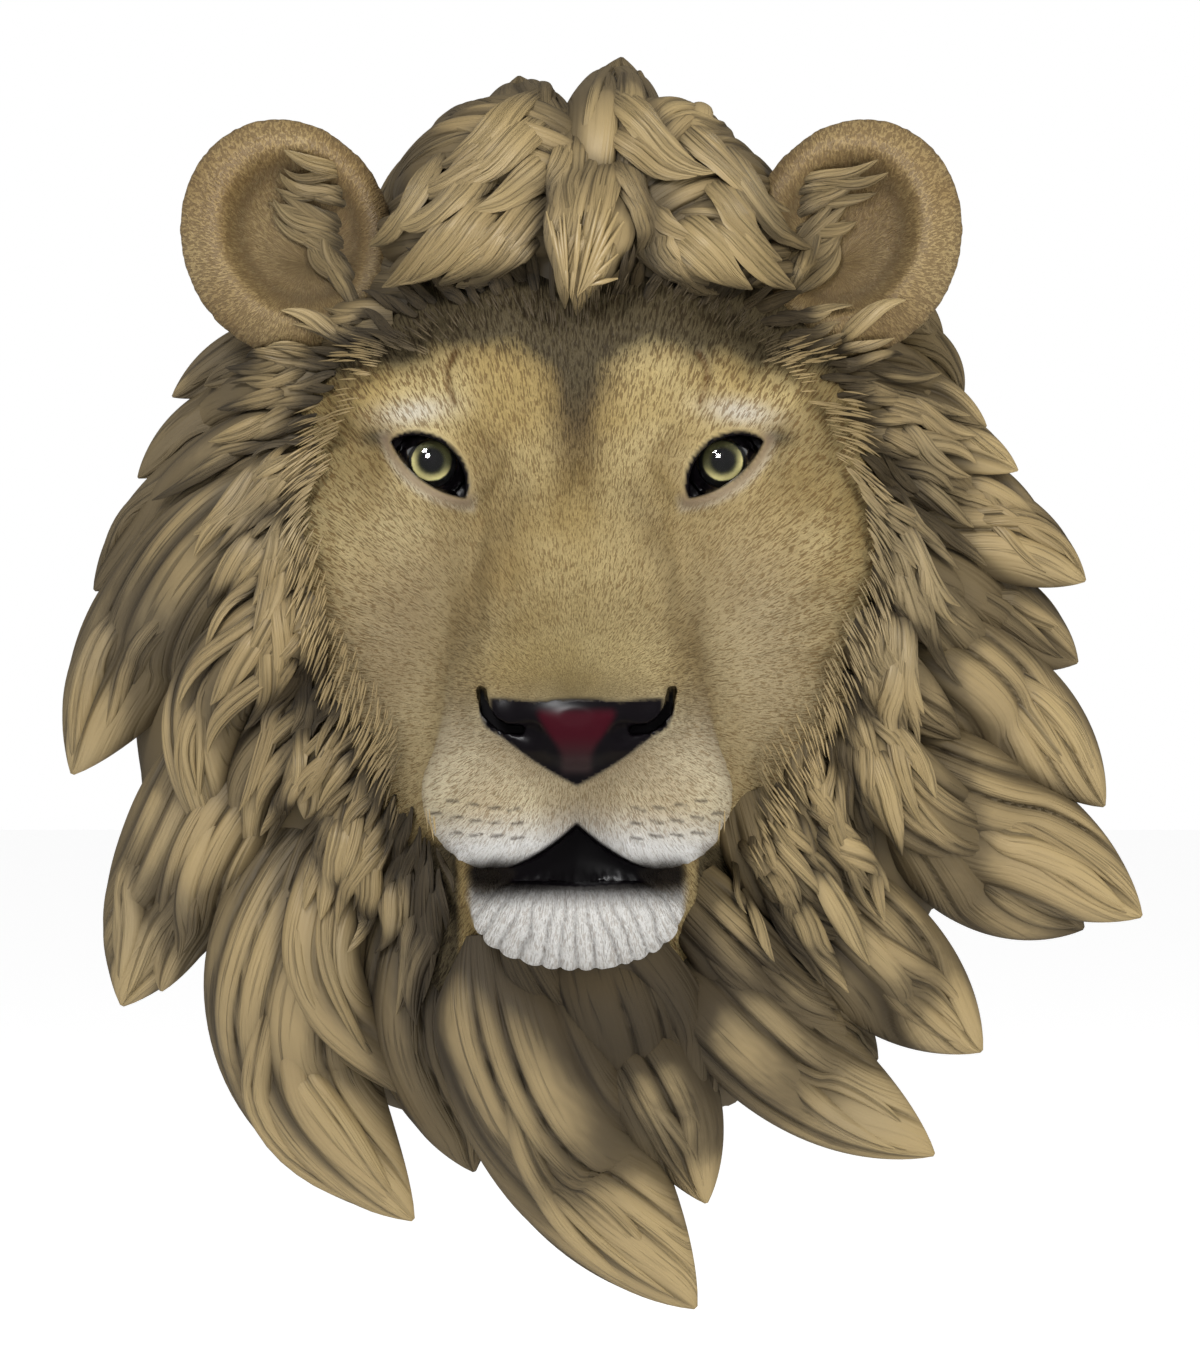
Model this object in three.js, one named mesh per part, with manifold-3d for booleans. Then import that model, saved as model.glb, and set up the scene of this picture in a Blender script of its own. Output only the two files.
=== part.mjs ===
// A lion's head wall mask: one painted resin casting, flat behind, and two glass eyes set in its sockets.
// The head and its mane are carved in shares, a four-hundredth of the mask's height each.
// +X is right and +Z is up as seen from the front, which faces -Y. The wall is the plane y = 0,
// and the origin lies on the flat back.

import * as THREE from "three";
import { mergeVertices } from "three/addons/utils/BufferGeometryUtils.js";
import Module from "manifold-3d";

const wasm = await Module();
wasm.setup();

// Driving sizes, in millimetres
const MASK_HEIGHT = 400;
const EYE_DIAMETER = 23;
const EYE_CLEARANCE = 0.3;
const EYELID_THICKNESS = 2.6;
// The eye's opening: corner to corner, how far each lid arches from that line, and where its middle lies
const EYE_OPENING_LENGTH = 28.3;
const EYE_OPENING_TILT = 38;
const UPPER_LID_RISE = 8.9;
const LOWER_LID_FALL = 3.6;
const EYE_OPENING_SHIFT = [1, -2];
const EYE_OPENING_INSET = 4;
const HANGER_WIDTH = 18;
const HANGER_HEIGHT = 30;
const HANGER_DEPTH = 14;
const HANGER_CENTRE_HEIGHT = 95;

const SHARE = MASK_HEIGHT / 400;
// How many flat faces the carving keeps, and the resin behind the wall's plane that is ground off flat
const CARVING_TRIANGLES = 8300;
const BACK_ALLOWANCE = 8;
const FINE_STEP = 3.6;
const COARSE_STEP = 7;
const COARSENING = 0.3;
// The stretch across and up that holds the eyes, nose and mouth, carved finely
const FINE_HALF_WIDTH = 58;
const FINE_BOTTOM = -62;
const FINE_TOP = 84;
const FINE_BACK = 80;
// Where the head's front is cut off, inside the bed that it grows from
const FACE_BACK = 32;
const FACE_TOP = 128;
const FACE_BOTTOM = -98;

// The front of the head, as [half-spread, out from the wall, height] and radii in the same order.
// A piece with a spread is carved on both sides of the midline.
const HEAD = {
  skull: { centre: [0, 30, 64], radii: [95, 72, 92], blend: 1 },
  throat: { centre: [0, 34, -66], radii: [66, 46, 60], blend: 30 },
  cheek: { centre: [38, 36, 4], radii: [50, 56, 60], blend: 26 },
  cheekbone: { centre: [62, 66, 44], radii: [26, 27, 26], blend: 24 },
  below_eye: { centre: [42, 86, 44], radii: [22, 17, 22], blend: 20 },
  muzzle: { centre: [0, 88, -16], radii: [45, 60, 38], blend: 30 },
  brow: { centre: [21, 80, 94], radii: [20, 25, 30], blend: 14 },
  eyebrow: { centre: [47, 83, 88], radii: [24, 20, 14], blend: 16 },
  jaw: { centre: [0, 80, -62], radii: [38, 40, 24], blend: 16 },
  lip_pad: { centre: [24, 122, -33], radii: [23, 29, 23], blend: 8 },
  chin: { centre: [0, 106, -70], radii: [32, 28, 17], blend: 5 },
};
const BRIDGE = { from: [0, 84, 90], to: [0, 135, 6], radii: [18, 20], widen: 1.6, blend: 26 };
const NOSE = { centre: [0, 144, -10], radii: [25, 18, 15], blend: 4 };
const NOSE_WING = { centre: [23, 139, -8], radii: [8, 14, 8], blend: 5 };
const EYE = [44.6, 94, 68];
const EYE_HOLLOW = { radii: [19, 8, 11], out: 19, blend: 9 };
const EYELID_BLEND = 8;
const NOSTRIL = { centre: [14, 162, -14], radii: [8, 9, 5], blend: 2 };
const FOREHEAD_GROOVE = { centre: [0, 117, 98], radii: [4, 8, 34], blend: 12 };
const MOUTH = { centre: [0, 138, -56.5], radii: [24, 24, 5], blend: 4 };

// How far the head's forms reach, with room for a cell of the grid and for their blends
const HEAD_FORMS = [...Object.values(HEAD), NOSE, NOSE_WING];
const reachOf = (axis) => Math.max(...HEAD_FORMS.map(({ centre, radii }) => centre[axis] + radii[axis]));
const FACE_HALF_WIDTH = reachOf(0) + 2 * COARSE_STEP;
const HIGHEST_OUT = reachOf(1) + 2 * COARSE_STEP;

// The bed that the mane lies on: one broad dome, and the crown above the brow
const BED = { centre: [-6, -8, -2], radii: [138, 76, 146], segments: [28, 16] };
const CROWN = { centre: [2, 36, 130], radii: [60, 52, 54], segments: [18, 12] };
const BED_BLEND = 24;
const BED_FLOOR = 9;

// The ears, each a dish with a thick rim
const EAR = {
  centre: [89, 50, 140],
  shift: -2,
  radii: [33, 19, 38],
  hollow: [22, 17, 26],
  hollow_out: 14,
  hollow_in: 4,
  tilt: 20,
};

// The mane's locks: root across and up, tip across and up, sideways bow, width, and layer.
// A bow over zero bulges to the left of the way from root to tip. Layer 0 lies under 1, and 1 under 2.
const LOCKS = {
  crown: [
    [8, 148, 14, 201, 0, 32, 0],
    [-10, 146, -19, 195, 2, 32, 0],
    [0, 156, -52, 172, -7, 32, 0],
    [18, 158, 46, 170, 5, 34, 0],
    [14, 146, 70, 146, 13, 30, 0],
    [6, 150, -66, 150, -16, 32, 1],
    [-8, 140, -74, 133, -9, 28, 1],
    [10, 160, 34, 183, 3, 20, 1],
    [18, 140, 70, 138, 9, 24, 1],
    [4, 140, -62, 124, -8, 22, 2],
    [22, 134, 62, 126, 7, 22, 2],
    [2, 172, 20, 196, -3, 18, 1],
    [6, 160, -2, 118, 4, 24, 2],
  ],
  temples: [
    [-76, 112, -130, 92, -4, 21, 0],
    [-80, 95, -141, 66, -6, 24, 0],
    [91, 112, 123, 91, 3, 26, 0],
    [84, 122, 117, 110, 3, 22, 0],
    [-51, 130, -101, 126, -3, 16, 0],
    [-49, 122, -98, 109, -4, 19, 1],
    [63, 128, 113, 112, 6, 20, 1],
    [-57, 112, -119, 95, -4, 21, 2],
    [50, 132, 81, 122, 4, 20, 2],
    [71, 116, 101, 104, 4, 19, 2],
    [81, 106, 118, 85, 4, 19, 2],
  ],
  left: [
    [-86, 78, -155, 30, -5, 34, 0],
    [-89, 56, -162, -29, -11, 46, 0],
    [-104, -10, -146, -103, 1, 46, 0],
    [-96, -20, -133, -98, -6, 32, 1],
    [-81, -2, -104, -55, -8, 20, 1],
    [-56, -51, -47, -78, -3, 17, 1],
    [-80, 66, -132, 34, -5, 20, 2],
    [-83, 42, -129, 14, -6, 21, 2],
    [-78, 25, -117, -50, -20, 28, 2],
    [-70, -16, -85, -42, -3, 15, 2],
    [-66, -27, -64, -66, -4, 16, 2],
  ],
  right: [
    [100, -34, 162, -78, -4, 38, 0],
    [104, 36, 160, 7, 2, 32, 0],
    [98, -22, 180, -74, 2, 40, 1],
    [102, 14, 168, -39, 7, 36, 1],
    [100, 62, 162, 33, 3, 31, 1],
    [94, 72, 150, 49, 2, 27, 1],
    [84, -4, 144, -52, -12, 28, 2],
    [86, 22, 121, -17, -4, 20, 2],
    [92, 42, 134, 10, -4, 20, 2],
    [90, 82, 140, 68, 4, 20, 2],
    [85, 94, 130, 82, 4, 19, 2],
    [90, 56, 123, 27, -3, 18, 2],
  ],
  beard: [
    [-50, -66, -33, -156, -6, 38, 0],
    [-35, -76, -25, -156, -6, 28, 0],
    [7, -80, 16, -148, 0, 44, 0],
    [50, -78, 96, -120, -3, 30, 0],
    [-78, -44, -52, -171, -27, 54, 1],
    [-26, -76, 38, -199, -13, 54, 1],
    [30, -76, 114, -150, -9, 40, 1],
    [60, -58, 129, -117, 2, 42, 1],
    [-72, -40, -57, -129, -17, 27, 2],
    [-4, -88, 41, -165, 7, 36, 2],
    [-19, -76, 37, -137, -4, 23, 2],
    [12, -74, 41, -140, 6, 21, 2],
    [34, -60, 86, -113, -6, 27, 2],
    [50, -34, 98, -77, -11, 25, 2],
    [68, -18, 89, -65, -4, 17, 2],
  ],
};
const LAYER_LIFT = [0, 7, 14];
const LOCK_THICKNESS = 0.7;
const LOCK_STATIONS = 9;
const LOCK_SIDES = 8;
// How deep a lock's root sinks, as a share of its width, and the share of its length over which it
// comes down from the root onto the bed
const ROOT_SINK = 0.3;
const DESCENT = 0.55;
// The stretch of a lock, as a share of its length, over which it eases from the bed down to the wall
const EASING = 0.2;
// How far a lock's tip leans away from the side that it bulges to, as a share of its width
const TIP_LEAN = 0.1;
// Locks lie face-out on the middle of the head and lean outwards away from it, more the smaller these are.
const LEAN_ACROSS = 260;
const LEAN_UP = 300;
const LEAN_CENTRE_HEIGHT = 20;

// Signed distances, under zero inside. Points are in shares.
const place = ([across, out, up]) => [across, -out, up];

function ellipsoid(point, centre, radii) {
  let scaled = 0;
  let squared = 0;
  for (let axis = 0; axis < 3; axis++) {
    const offset = (point[axis] - centre[axis]) / radii[axis];
    scaled += offset * offset;
    squared += (offset / radii[axis]) ** 2;
  }
  if (squared === 0) return -Math.min(...radii);
  const length = Math.sqrt(scaled);
  return (length * (length - 1)) / Math.sqrt(squared);
}

// A tapered rod in the middle plane, its section widened across.
function taperedRod(point, { from, to, radii, widen }) {
  const [start, end] = [place(from), place(to)];
  const along = end.map((value, axis) => value - start[axis]);
  const offset = [point[0] / widen, point[1] - start[1], point[2] - start[2]];
  const dot = offset.reduce((sum, value, axis) => sum + value * along[axis], 0);
  const share = Math.min(1, Math.max(0, dot / along.reduce((sum, value) => sum + value * value, 0)));
  const gap = Math.hypot(...offset.map((value, axis) => value - along[axis] * share));
  return gap - (radii[0] + (radii[1] - radii[0]) * share);
}

function join(a, b, blend) {
  const overlap = Math.max(blend - Math.abs(a - b), 0) / blend;
  return Math.min(a, b) - (overlap * overlap * blend) / 4;
}

const cut = (a, b, blend) => -join(-a, b, blend);

function headField(point) {
  const folded = [Math.abs(point[0]), point[1], point[2]];
  let field = Infinity;
  for (const form of Object.values(HEAD)) {
    const distance = ellipsoid(folded, place(form.centre), form.radii);
    field = field === Infinity ? distance : join(field, distance, form.blend);
  }
  field = join(field, taperedRod(folded, BRIDGE), BRIDGE.blend);
  for (const form of [NOSE, NOSE_WING]) {
    field = join(field, ellipsoid(folded, place(form.centre), form.radii), form.blend);
  }
  const hollow = [EYE[0], EYE[1] + EYE_HOLLOW.out, EYE[2]];
  field = cut(field, ellipsoid(folded, place(hollow), EYE_HOLLOW.radii), EYE_HOLLOW.blend);
  const lid = (EYE_DIAMETER / 2 + EYELID_THICKNESS) / SHARE;
  field = join(field, ellipsoid(folded, place(EYE), [lid, lid, lid]), EYELID_BLEND);
  for (const hole of [NOSTRIL, FOREHEAD_GROOVE, MOUTH]) {
    field = cut(field, ellipsoid(folded, place(hole.centre), hole.radii), hole.blend);
  }
  return field;
}

function bedField(point) {
  const crown = ellipsoid(point, place(CROWN.centre), CROWN.radii);
  return join(crown, ellipsoid(point, place(BED.centre), BED.radii), BED_BLEND);
}

const wholeField = (point) => Math.min(headField(point), bedField(point));

// How far a field's front stands out from the wall, straight in front of a place on it.
function standOut(field, across, up) {
  const step = FINE_STEP;
  for (let out = HIGHEST_OUT; out > 0; out -= step) {
    if (field([across, -out, up]) < 0) {
      let [inside, outside] = [out, out + step];
      for (let turn = 0; turn < 8; turn++) {
        const middle = (inside + outside) / 2;
        if (field([across, -middle, up]) < 0) inside = middle;
        else outside = middle;
      }
      return inside;
    }
  }
  return 0;
}

// A closed mesh of a field, from one vertex in each cell of the grid that the surface crosses.
function surfaceOf(field, xs, ys, zs) {
  const index = (i, j, k) => (i * ys.length + j) * zs.length + k;
  const values = new Float64Array(xs.length * ys.length * zs.length);
  xs.forEach((x, i) =>
    ys.forEach((y, j) =>
      zs.forEach((z, k) => {
        values[index(i, j, k)] = field([x, y, z]);
      }),
    ),
  );
  const corners = Array.from({ length: 8 }, (_, n) => [n & 1, (n >> 1) & 1, (n >> 2) & 1]);
  const beside = (a, b) => a.filter((value, axis) => value !== b[axis]).length === 1;
  const edges = corners.flatMap((a, n) =>
    corners
      .slice(n + 1)
      .filter((b) => beside(a, b))
      .map((b) => [a, b]),
  );
  const vertexOf = new Int32Array(values.length).fill(-1);
  const positions = [];
  for (let i = 0; i < xs.length - 1; i++) {
    for (let j = 0; j < ys.length - 1; j++) {
      for (let k = 0; k < zs.length - 1; k++) {
        const sum = [0, 0, 0];
        let crossings = 0;
        for (const [a, b] of edges) {
          const first = values[index(i + a[0], j + a[1], k + a[2])];
          const second = values[index(i + b[0], j + b[1], k + b[2])];
          if (first < 0 === second < 0) continue;
          const share = first / (first - second);
          const at = a.map((value, axis) => value + (b[axis] - value) * share);
          sum[0] += xs[i] + (xs[i + 1] - xs[i]) * at[0];
          sum[1] += ys[j] + (ys[j + 1] - ys[j]) * at[1];
          sum[2] += zs[k] + (zs[k + 1] - zs[k]) * at[2];
          crossings++;
        }
        if (!crossings) continue;
        vertexOf[index(i, j, k)] = positions.length / 3;
        positions.push(...sum.map((value) => value / crossings));
      }
    }
  }
  const triangles = [];
  const steps = [
    [1, 0, 0],
    [0, 1, 0],
    [0, 0, 1],
  ];
  for (let i = 1; i < xs.length - 1; i++) {
    for (let j = 1; j < ys.length - 1; j++) {
      for (let k = 1; k < zs.length - 1; k++) {
        steps.forEach((step, axis) => {
          const here = values[index(i, j, k)] < 0;
          const there = values[index(i + step[0], j + step[1], k + step[2])] < 0;
          if (here === there) return;
          const u = steps[(axis + 1) % 3];
          const v = steps[(axis + 2) % 3];
          const cell = (s, t) =>
            vertexOf[index(i - s * u[0] - t * v[0], j - s * u[1] - t * v[1], k - s * u[2] - t * v[2])];
          const ring = [cell(1, 1), cell(0, 1), cell(0, 0), cell(1, 0)];
          if (!here) ring.reverse();
          triangles.push(ring[0], ring[1], ring[2], ring[0], ring[2], ring[3]);
        });
      }
    }
  }
  const geometry = new THREE.BufferGeometry();
  geometry.setAttribute("position", new THREE.BufferAttribute(new Float32Array(positions), 3));
  geometry.setIndex(triangles);
  return geometry;
}

// Grid lines from low to high, close together inside the fine stretch and wide apart outside it.
function gridLines(low, high, fineLow, fineHigh) {
  const lines = [low];
  while (lines.at(-1) < high) {
    const last = lines.at(-1);
    const away = Math.max(fineLow - last, last - fineHigh, 0);
    lines.push(last + Math.min(COARSE_STEP, FINE_STEP + away * COARSENING));
  }
  return lines;
}

function faceGeometry() {
  const clear = 2 * FINE_STEP;
  const xs = gridLines(-FACE_HALF_WIDTH, FACE_HALF_WIDTH, -FINE_HALF_WIDTH, FINE_HALF_WIDTH);
  const ys = gridLines(-HIGHEST_OUT, clear - FACE_BACK, -HIGHEST_OUT, -FINE_BACK);
  const zs = gridLines(FACE_BOTTOM - clear, FACE_TOP + clear, FINE_BOTTOM, FINE_TOP);
  const cutOff = ([, y, z]) => Math.max(y + FACE_BACK, z - FACE_TOP, FACE_BOTTOM - z);
  return surfaceOf((point) => Math.max(headField(point), cutOff(point)), xs, ys, zs);
}

function domeGeometry({ centre, radii, segments }) {
  const [across, out, up] = centre;
  return new THREE.SphereGeometry(1, ...segments).scale(...radii).translate(across, -out, up);
}

// How wide a lock is along its length, as a share of its full width.
const lockSpread = (t) => (0.8 + 0.8 * t) * (1 - t ** 2.6) ** 0.9;

function lockGeometry([rootAcross, rootUp, tipAcross, tipUp, bow, width, layer]) {
  const root = new THREE.Vector2(rootAcross, rootUp);
  const tip = new THREE.Vector2(tipAcross, tipUp);
  const along = tip.clone().sub(root).normalize();
  const left = new THREE.Vector2(-along.y, along.x);
  const rootOut = standOut(wholeField, rootAcross, rootUp) - width * ROOT_SINK;
  const smooth = (t) => t * t * (3 - 2 * t);
  const flat = (t) => root.clone().lerp(tip, t).addScaledVector(left, bow * Math.sin(Math.PI * t));
  const bedOut = (t) => {
    const at = flat(Math.min(1, Math.max(0, t)));
    return Math.max(standOut(bedField, at.x, at.y), BED_FLOOR);
  };
  const centre = (t) => {
    const at = flat(t);
    const eased = (bedOut(t - EASING / 2) + 2 * bedOut(t) + bedOut(t + EASING / 2)) / 4;
    const out = rootOut + (eased + LAYER_LIFT[layer] - rootOut) * smooth(Math.min(1, t / DESCENT));
    return new THREE.Vector3(at.x, -out, at.y);
  };
  const sides = LOCK_SIDES;
  const positions = [];
  for (let station = 0; station < LOCK_STATIONS; station++) {
    const t = station / LOCK_STATIONS;
    const middle = centre(t);
    const tangent = centre(t + 0.5 / LOCK_STATIONS).sub(centre(t)).normalize();
    const lean = (middle.z - LEAN_CENTRE_HEIGHT) / LEAN_UP;
    const outward = new THREE.Vector3(middle.x / LEAN_ACROSS, -1, lean).normalize();
    const sideways = tangent.clone().cross(outward).normalize();
    outward.crossVectors(sideways, tangent);
    const half = (width / 2) * lockSpread(t);
    const lie = Math.sign(bow) * TIP_LEAN * smooth(t);
    for (let side = 0; side < sides; side++) {
      const angle = ((side + 0.5) / sides) * 2 * Math.PI;
      positions.push(
        middle
          .clone()
          .addScaledVector(sideways, half * (Math.cos(angle) + lie))
          .addScaledVector(outward, half * LOCK_THICKNESS * Math.sin(angle)),
      );
    }
  }
  positions.push(centre(0), centre(1));
  const ends = [positions.length - 2, positions.length - 1];
  const triangles = [];
  for (let side = 0; side < sides; side++) {
    const next = (side + 1) % sides;
    triangles.push(ends[0], side, next);
    for (let ring = 0; ring < LOCK_STATIONS - 1; ring++) {
      const [a, b, c, d] = [side, next, next + sides, side + sides].map((n) => n + ring * sides);
      triangles.push(a, d, b, b, d, c);
    }
    const last = (LOCK_STATIONS - 1) * sides;
    triangles.push(ends[1], last + next, last + side);
  }
  const geometry = new THREE.BufferGeometry().setFromPoints(positions);
  geometry.setIndex(triangles);
  return geometry;
}

// One ear's outside or its hollow, as a turned ellipsoid. side is 1 on the right and -1 on the left.
function earGeometry(side, radii, out) {
  const geometry = new THREE.SphereGeometry(1, 18, 10);
  geometry.scale(radii[0], radii[1], radii[2]);
  geometry.rotateY(THREE.MathUtils.degToRad(side * EAR.tilt));
  geometry.translate(side * EAR.centre[0] + EAR.shift, -out, EAR.centre[2]);
  return geometry;
}

// The almond through which an eye shows, low at the nose and high at the temple. Each lid's edge is an
// arc over the line between its corners. It runs forward from inside the lid.
function eyeOpeningGeometry(side) {
  const half = EYE_OPENING_LENGTH / 2;
  const radiusOf = (rise) => (half * half + rise * rise) / (2 * rise);
  const [upper, lower] = [radiusOf(UPPER_LID_RISE), radiusOf(LOWER_LID_FALL)];
  const [upperAngle, lowerAngle] = [upper, lower].map((radius) => Math.asin(half / radius));
  const up = Math.PI / 2;
  const almond = new THREE.Shape();
  almond.absarc(0, UPPER_LID_RISE - upper, upper, up + upperAngle, up - upperAngle, true);
  almond.absarc(0, lower - LOWER_LID_FALL, lower, lowerAngle - up, -lowerAngle - up, true);
  const run = { depth: EYE_DIAMETER, bevelEnabled: false, curveSegments: 6 };
  const geometry = new THREE.ExtrudeGeometry(almond, run);
  geometry.rotateZ(side * THREE.MathUtils.degToRad(EYE_OPENING_TILT));
  geometry.rotateX(Math.PI / 2);
  const across = side * (EYE[0] * SHARE + EYE_OPENING_SHIFT[0]);
  geometry.translate(across, -EYE[1] * SHARE - EYE_OPENING_INSET, EYE[2] * SHARE + EYE_OPENING_SHIFT[1]);
  return geometry;
}

function eyeGeometry(side, radius) {
  const geometry = new THREE.SphereGeometry(radius, 14, 9);
  geometry.rotateX(Math.PI / 2);
  geometry.translate(side * EYE[0] * SHARE, -EYE[1] * SHARE, EYE[2] * SHARE);
  return geometry;
}

// Between three.js geometry and solids that can be joined and cut
function solidOf(geometry) {
  const bare = geometry.clone();
  bare.deleteAttribute("normal");
  bare.deleteAttribute("uv");
  const merged = mergeVertices(bare, 1e-3);
  return new wasm.Manifold(
    new wasm.Mesh({
      numProp: 3,
      vertProperties: merged.getAttribute("position").array,
      triVerts: new Uint32Array(merged.getIndex().array),
    }),
  );
}

function geometryOf(solid) {
  const mesh = solid.getMesh();
  const geometry = new THREE.BufferGeometry();
  geometry.setAttribute("position", new THREE.BufferAttribute(mesh.vertProperties, 3));
  geometry.setIndex(new THREE.BufferAttribute(mesh.triVerts, 1));
  return geometry;
}

// A closed mesh with fewer triangles: the edge whose collapse moves the surface least goes first.
function thinned(geometry, triangleLimit) {
  const positions = Array.from(geometry.getAttribute("position").array);
  const faces = Array.from(geometry.getIndex().array);
  const corner = (vertex) => positions.slice(vertex * 3, vertex * 3 + 3);
  const minus = (a, b) => [a[0] - b[0], a[1] - b[1], a[2] - b[2]];
  const dot = (a, b) => a[0] * b[0] + a[1] * b[1] + a[2] * b[2];
  const cross = (a, b) => [a[1] * b[2] - a[2] * b[1], a[2] * b[0] - a[0] * b[2], a[0] * b[1] - a[1] * b[0]];
  const across = (a, b, c) => cross(minus(b, a), minus(c, a));

  // Each vertex's squared distance from the planes of the faces that met there, as ten sums
  const vertexCount = positions.length / 3;
  const planes = Array.from({ length: vertexCount }, () => new Float64Array(10));
  const around = Array.from({ length: vertexCount }, () => new Set());
  for (let face = 0; face < faces.length / 3; face++) {
    const [a, b, c] = faces.slice(face * 3, face * 3 + 3).map(corner);
    const twice = across(a, b, c);
    const size = Math.hypot(...twice) || 1e-12;
    const [x, y, z] = twice.map((value) => value / size);
    const w = -dot([x, y, z], a);
    const sums = [x * x, x * y, x * z, x * w, y * y, y * z, y * w, z * z, z * w, w * w];
    for (const vertex of faces.slice(face * 3, face * 3 + 3)) {
      around[vertex].add(face);
      sums.forEach((value, n) => (planes[vertex][n] += value * size));
    }
  }
  const drift = (q, [x, y, z]) =>
    q[0] * x * x + 2 * q[1] * x * y + 2 * q[2] * x * z + 2 * q[3] * x + q[4] * y * y +
    2 * q[5] * y * z + 2 * q[6] * y + q[7] * z * z + 2 * q[8] * z + q[9];

  const neighbours = (vertex) => {
    const found = new Set();
    for (const face of around[vertex]) for (let n = 0; n < 3; n++) found.add(faces[face * 3 + n]);
    found.delete(vertex);
    return found;
  };
  const version = new Int32Array(vertexCount);
  const heap = [];
  const swap = (a, b) => ([heap[a], heap[b]] = [heap[b], heap[a]]);
  const push = (entry) => {
    let at = heap.push(entry) - 1;
    while (at > 0 && heap[at].cost < heap[(at - 1) >> 1].cost) {
      swap(at, (at - 1) >> 1);
      at = (at - 1) >> 1;
    }
  };
  const pop = () => {
    const top = heap[0];
    const last = heap.pop();
    if (heap.length) heap[0] = last;
    let at = 0;
    for (;;) {
      let least = at;
      for (const child of [2 * at + 1, 2 * at + 2]) {
        if (child < heap.length && heap[child].cost < heap[least].cost) least = child;
      }
      if (least === at) return top;
      swap(at, least);
      at = least;
    }
  };
  const consider = (a, b) => {
    const sum = planes[a].map((value, n) => value + planes[b][n]);
    const [first, second] = [corner(a), corner(b)];
    const middle = first.map((value, axis) => (value + second[axis]) / 2);
    const best = [middle, first, second]
      .map((place) => ({ place, cost: drift(sum, place) }))
      .reduce((one, other) => (other.cost < one.cost ? other : one));
    push({ a, b, place: best.place, cost: best.cost, stamp: version[a] + version[b] });
  };
  for (let vertex = 0; vertex < vertexCount; vertex++) {
    for (const other of neighbours(vertex)) if (other > vertex) consider(vertex, other);
  }

  // A collapse is refused where it would pinch the surface, turn a face over or leave a sliver.
  const allowed = ({ a, b, place }) => {
    const near = neighbours(a);
    const shared = [...neighbours(b)].filter((vertex) => near.has(vertex));
    if (shared.length !== 2) return false;
    for (const [vertex, other] of [
      [a, b],
      [b, a],
    ]) {
      for (const face of around[vertex]) {
        const ring = faces.slice(face * 3, face * 3 + 3);
        if (ring.includes(other)) continue;
        const before = across(...ring.map(corner));
        const moved = ring.map((n) => (n === vertex ? place : corner(n)));
        const after = across(...moved);
        const size = Math.hypot(...after);
        const longest = Math.max(...[0, 1, 2].map((n) => Math.hypot(...minus(moved[n], moved[(n + 1) % 3]))));
        if (dot(before, after) < 0.3 * Math.hypot(...before) * size) return false;
        if (size < 0.04 * longest * longest) return false;
      }
    }
    return true;
  };
  let left = faces.length / 3;
  while (left > triangleLimit && heap.length) {
    const edge = pop();
    const { a, b, place } = edge;
    if (!around[a].size || !around[b].size || edge.stamp !== version[a] + version[b]) continue;
    if (!allowed(edge)) continue;
    place.forEach((value, axis) => (positions[a * 3 + axis] = value));
    planes[b].forEach((value, n) => (planes[a][n] += value));
    for (const face of around[b]) {
      const ring = faces.slice(face * 3, face * 3 + 3);
      if (ring.includes(a)) {
        for (const vertex of ring) if (vertex !== b) around[vertex].delete(face);
        left--;
        continue;
      }
      faces[face * 3 + ring.indexOf(b)] = a;
      around[a].add(face);
    }
    around[b].clear();
    version[a] += 1;
    for (const other of neighbours(a)) consider(a, other);
  }
  const kept = new Set(around.flatMap((set) => [...set]));
  const thin = new THREE.BufferGeometry();
  thin.setAttribute("position", new THREE.BufferAttribute(new Float32Array(positions), 3));
  thin.setIndex([...kept].flatMap((face) => faces.slice(face * 3, face * 3 + 3)));
  return thin;
}

function box(width, depth, height, x, y, z) {
  return solidOf(new THREE.BoxGeometry(width, depth, height).translate(x, y, z));
}

function castingSolid() {
  const locks = Object.values(LOCKS).flat().map(lockGeometry);
  const carved = [domeGeometry(BED), domeGeometry(CROWN), faceGeometry(), ...locks];
  let casting = null;
  for (const geometry of carved) {
    const solid = solidOf(geometry.scale(SHARE, SHARE, SHARE));
    casting = casting ? casting.add(solid) : solid;
  }
  for (const side of [-1, 1]) {
    const dish = solidOf(earGeometry(side, EAR.radii, EAR.centre[1]).scale(SHARE, SHARE, SHARE));
    const hollow = earGeometry(side, EAR.hollow, EAR.centre[1] + EAR.hollow_out);
    hollow.translate(-side * EAR.hollow_in, 0, 0).scale(SHARE, SHARE, SHARE);
    casting = casting.add(dish.subtract(solidOf(hollow)));
  }
  const beyond = MASK_HEIGHT * 2;
  const behind = (start) => box(beyond, beyond, beyond, 0, start + beyond / 2, 0);
  casting = casting.subtract(behind(BACK_ALLOWANCE));
  // Pockets closed in behind the locks are filled, as the resin fills them: only the outer skin is kept.
  casting = casting.decompose().sort((a, b) => b.volume() - a.volume())[0];
  casting = solidOf(thinned(geometryOf(casting), CARVING_TRIANGLES)).subtract(behind(0));
  for (const side of [-1, 1]) {
    casting = casting.subtract(solidOf(eyeGeometry(side, EYE_DIAMETER / 2 + EYE_CLEARANCE)));
    casting = casting.subtract(solidOf(eyeOpeningGeometry(side)));
  }
  return casting.subtract(box(HANGER_WIDTH, HANGER_DEPTH * 2, HANGER_HEIGHT, 0, 0, HANGER_CENTRE_HEIGHT));
}

const resin = new THREE.MeshStandardMaterial({ color: 0xa08a5c, roughness: 0.55, metalness: 0 });
const glass = new THREE.MeshStandardMaterial({ color: 0x8c8a3c, roughness: 0.05, metalness: 0 });

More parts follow.
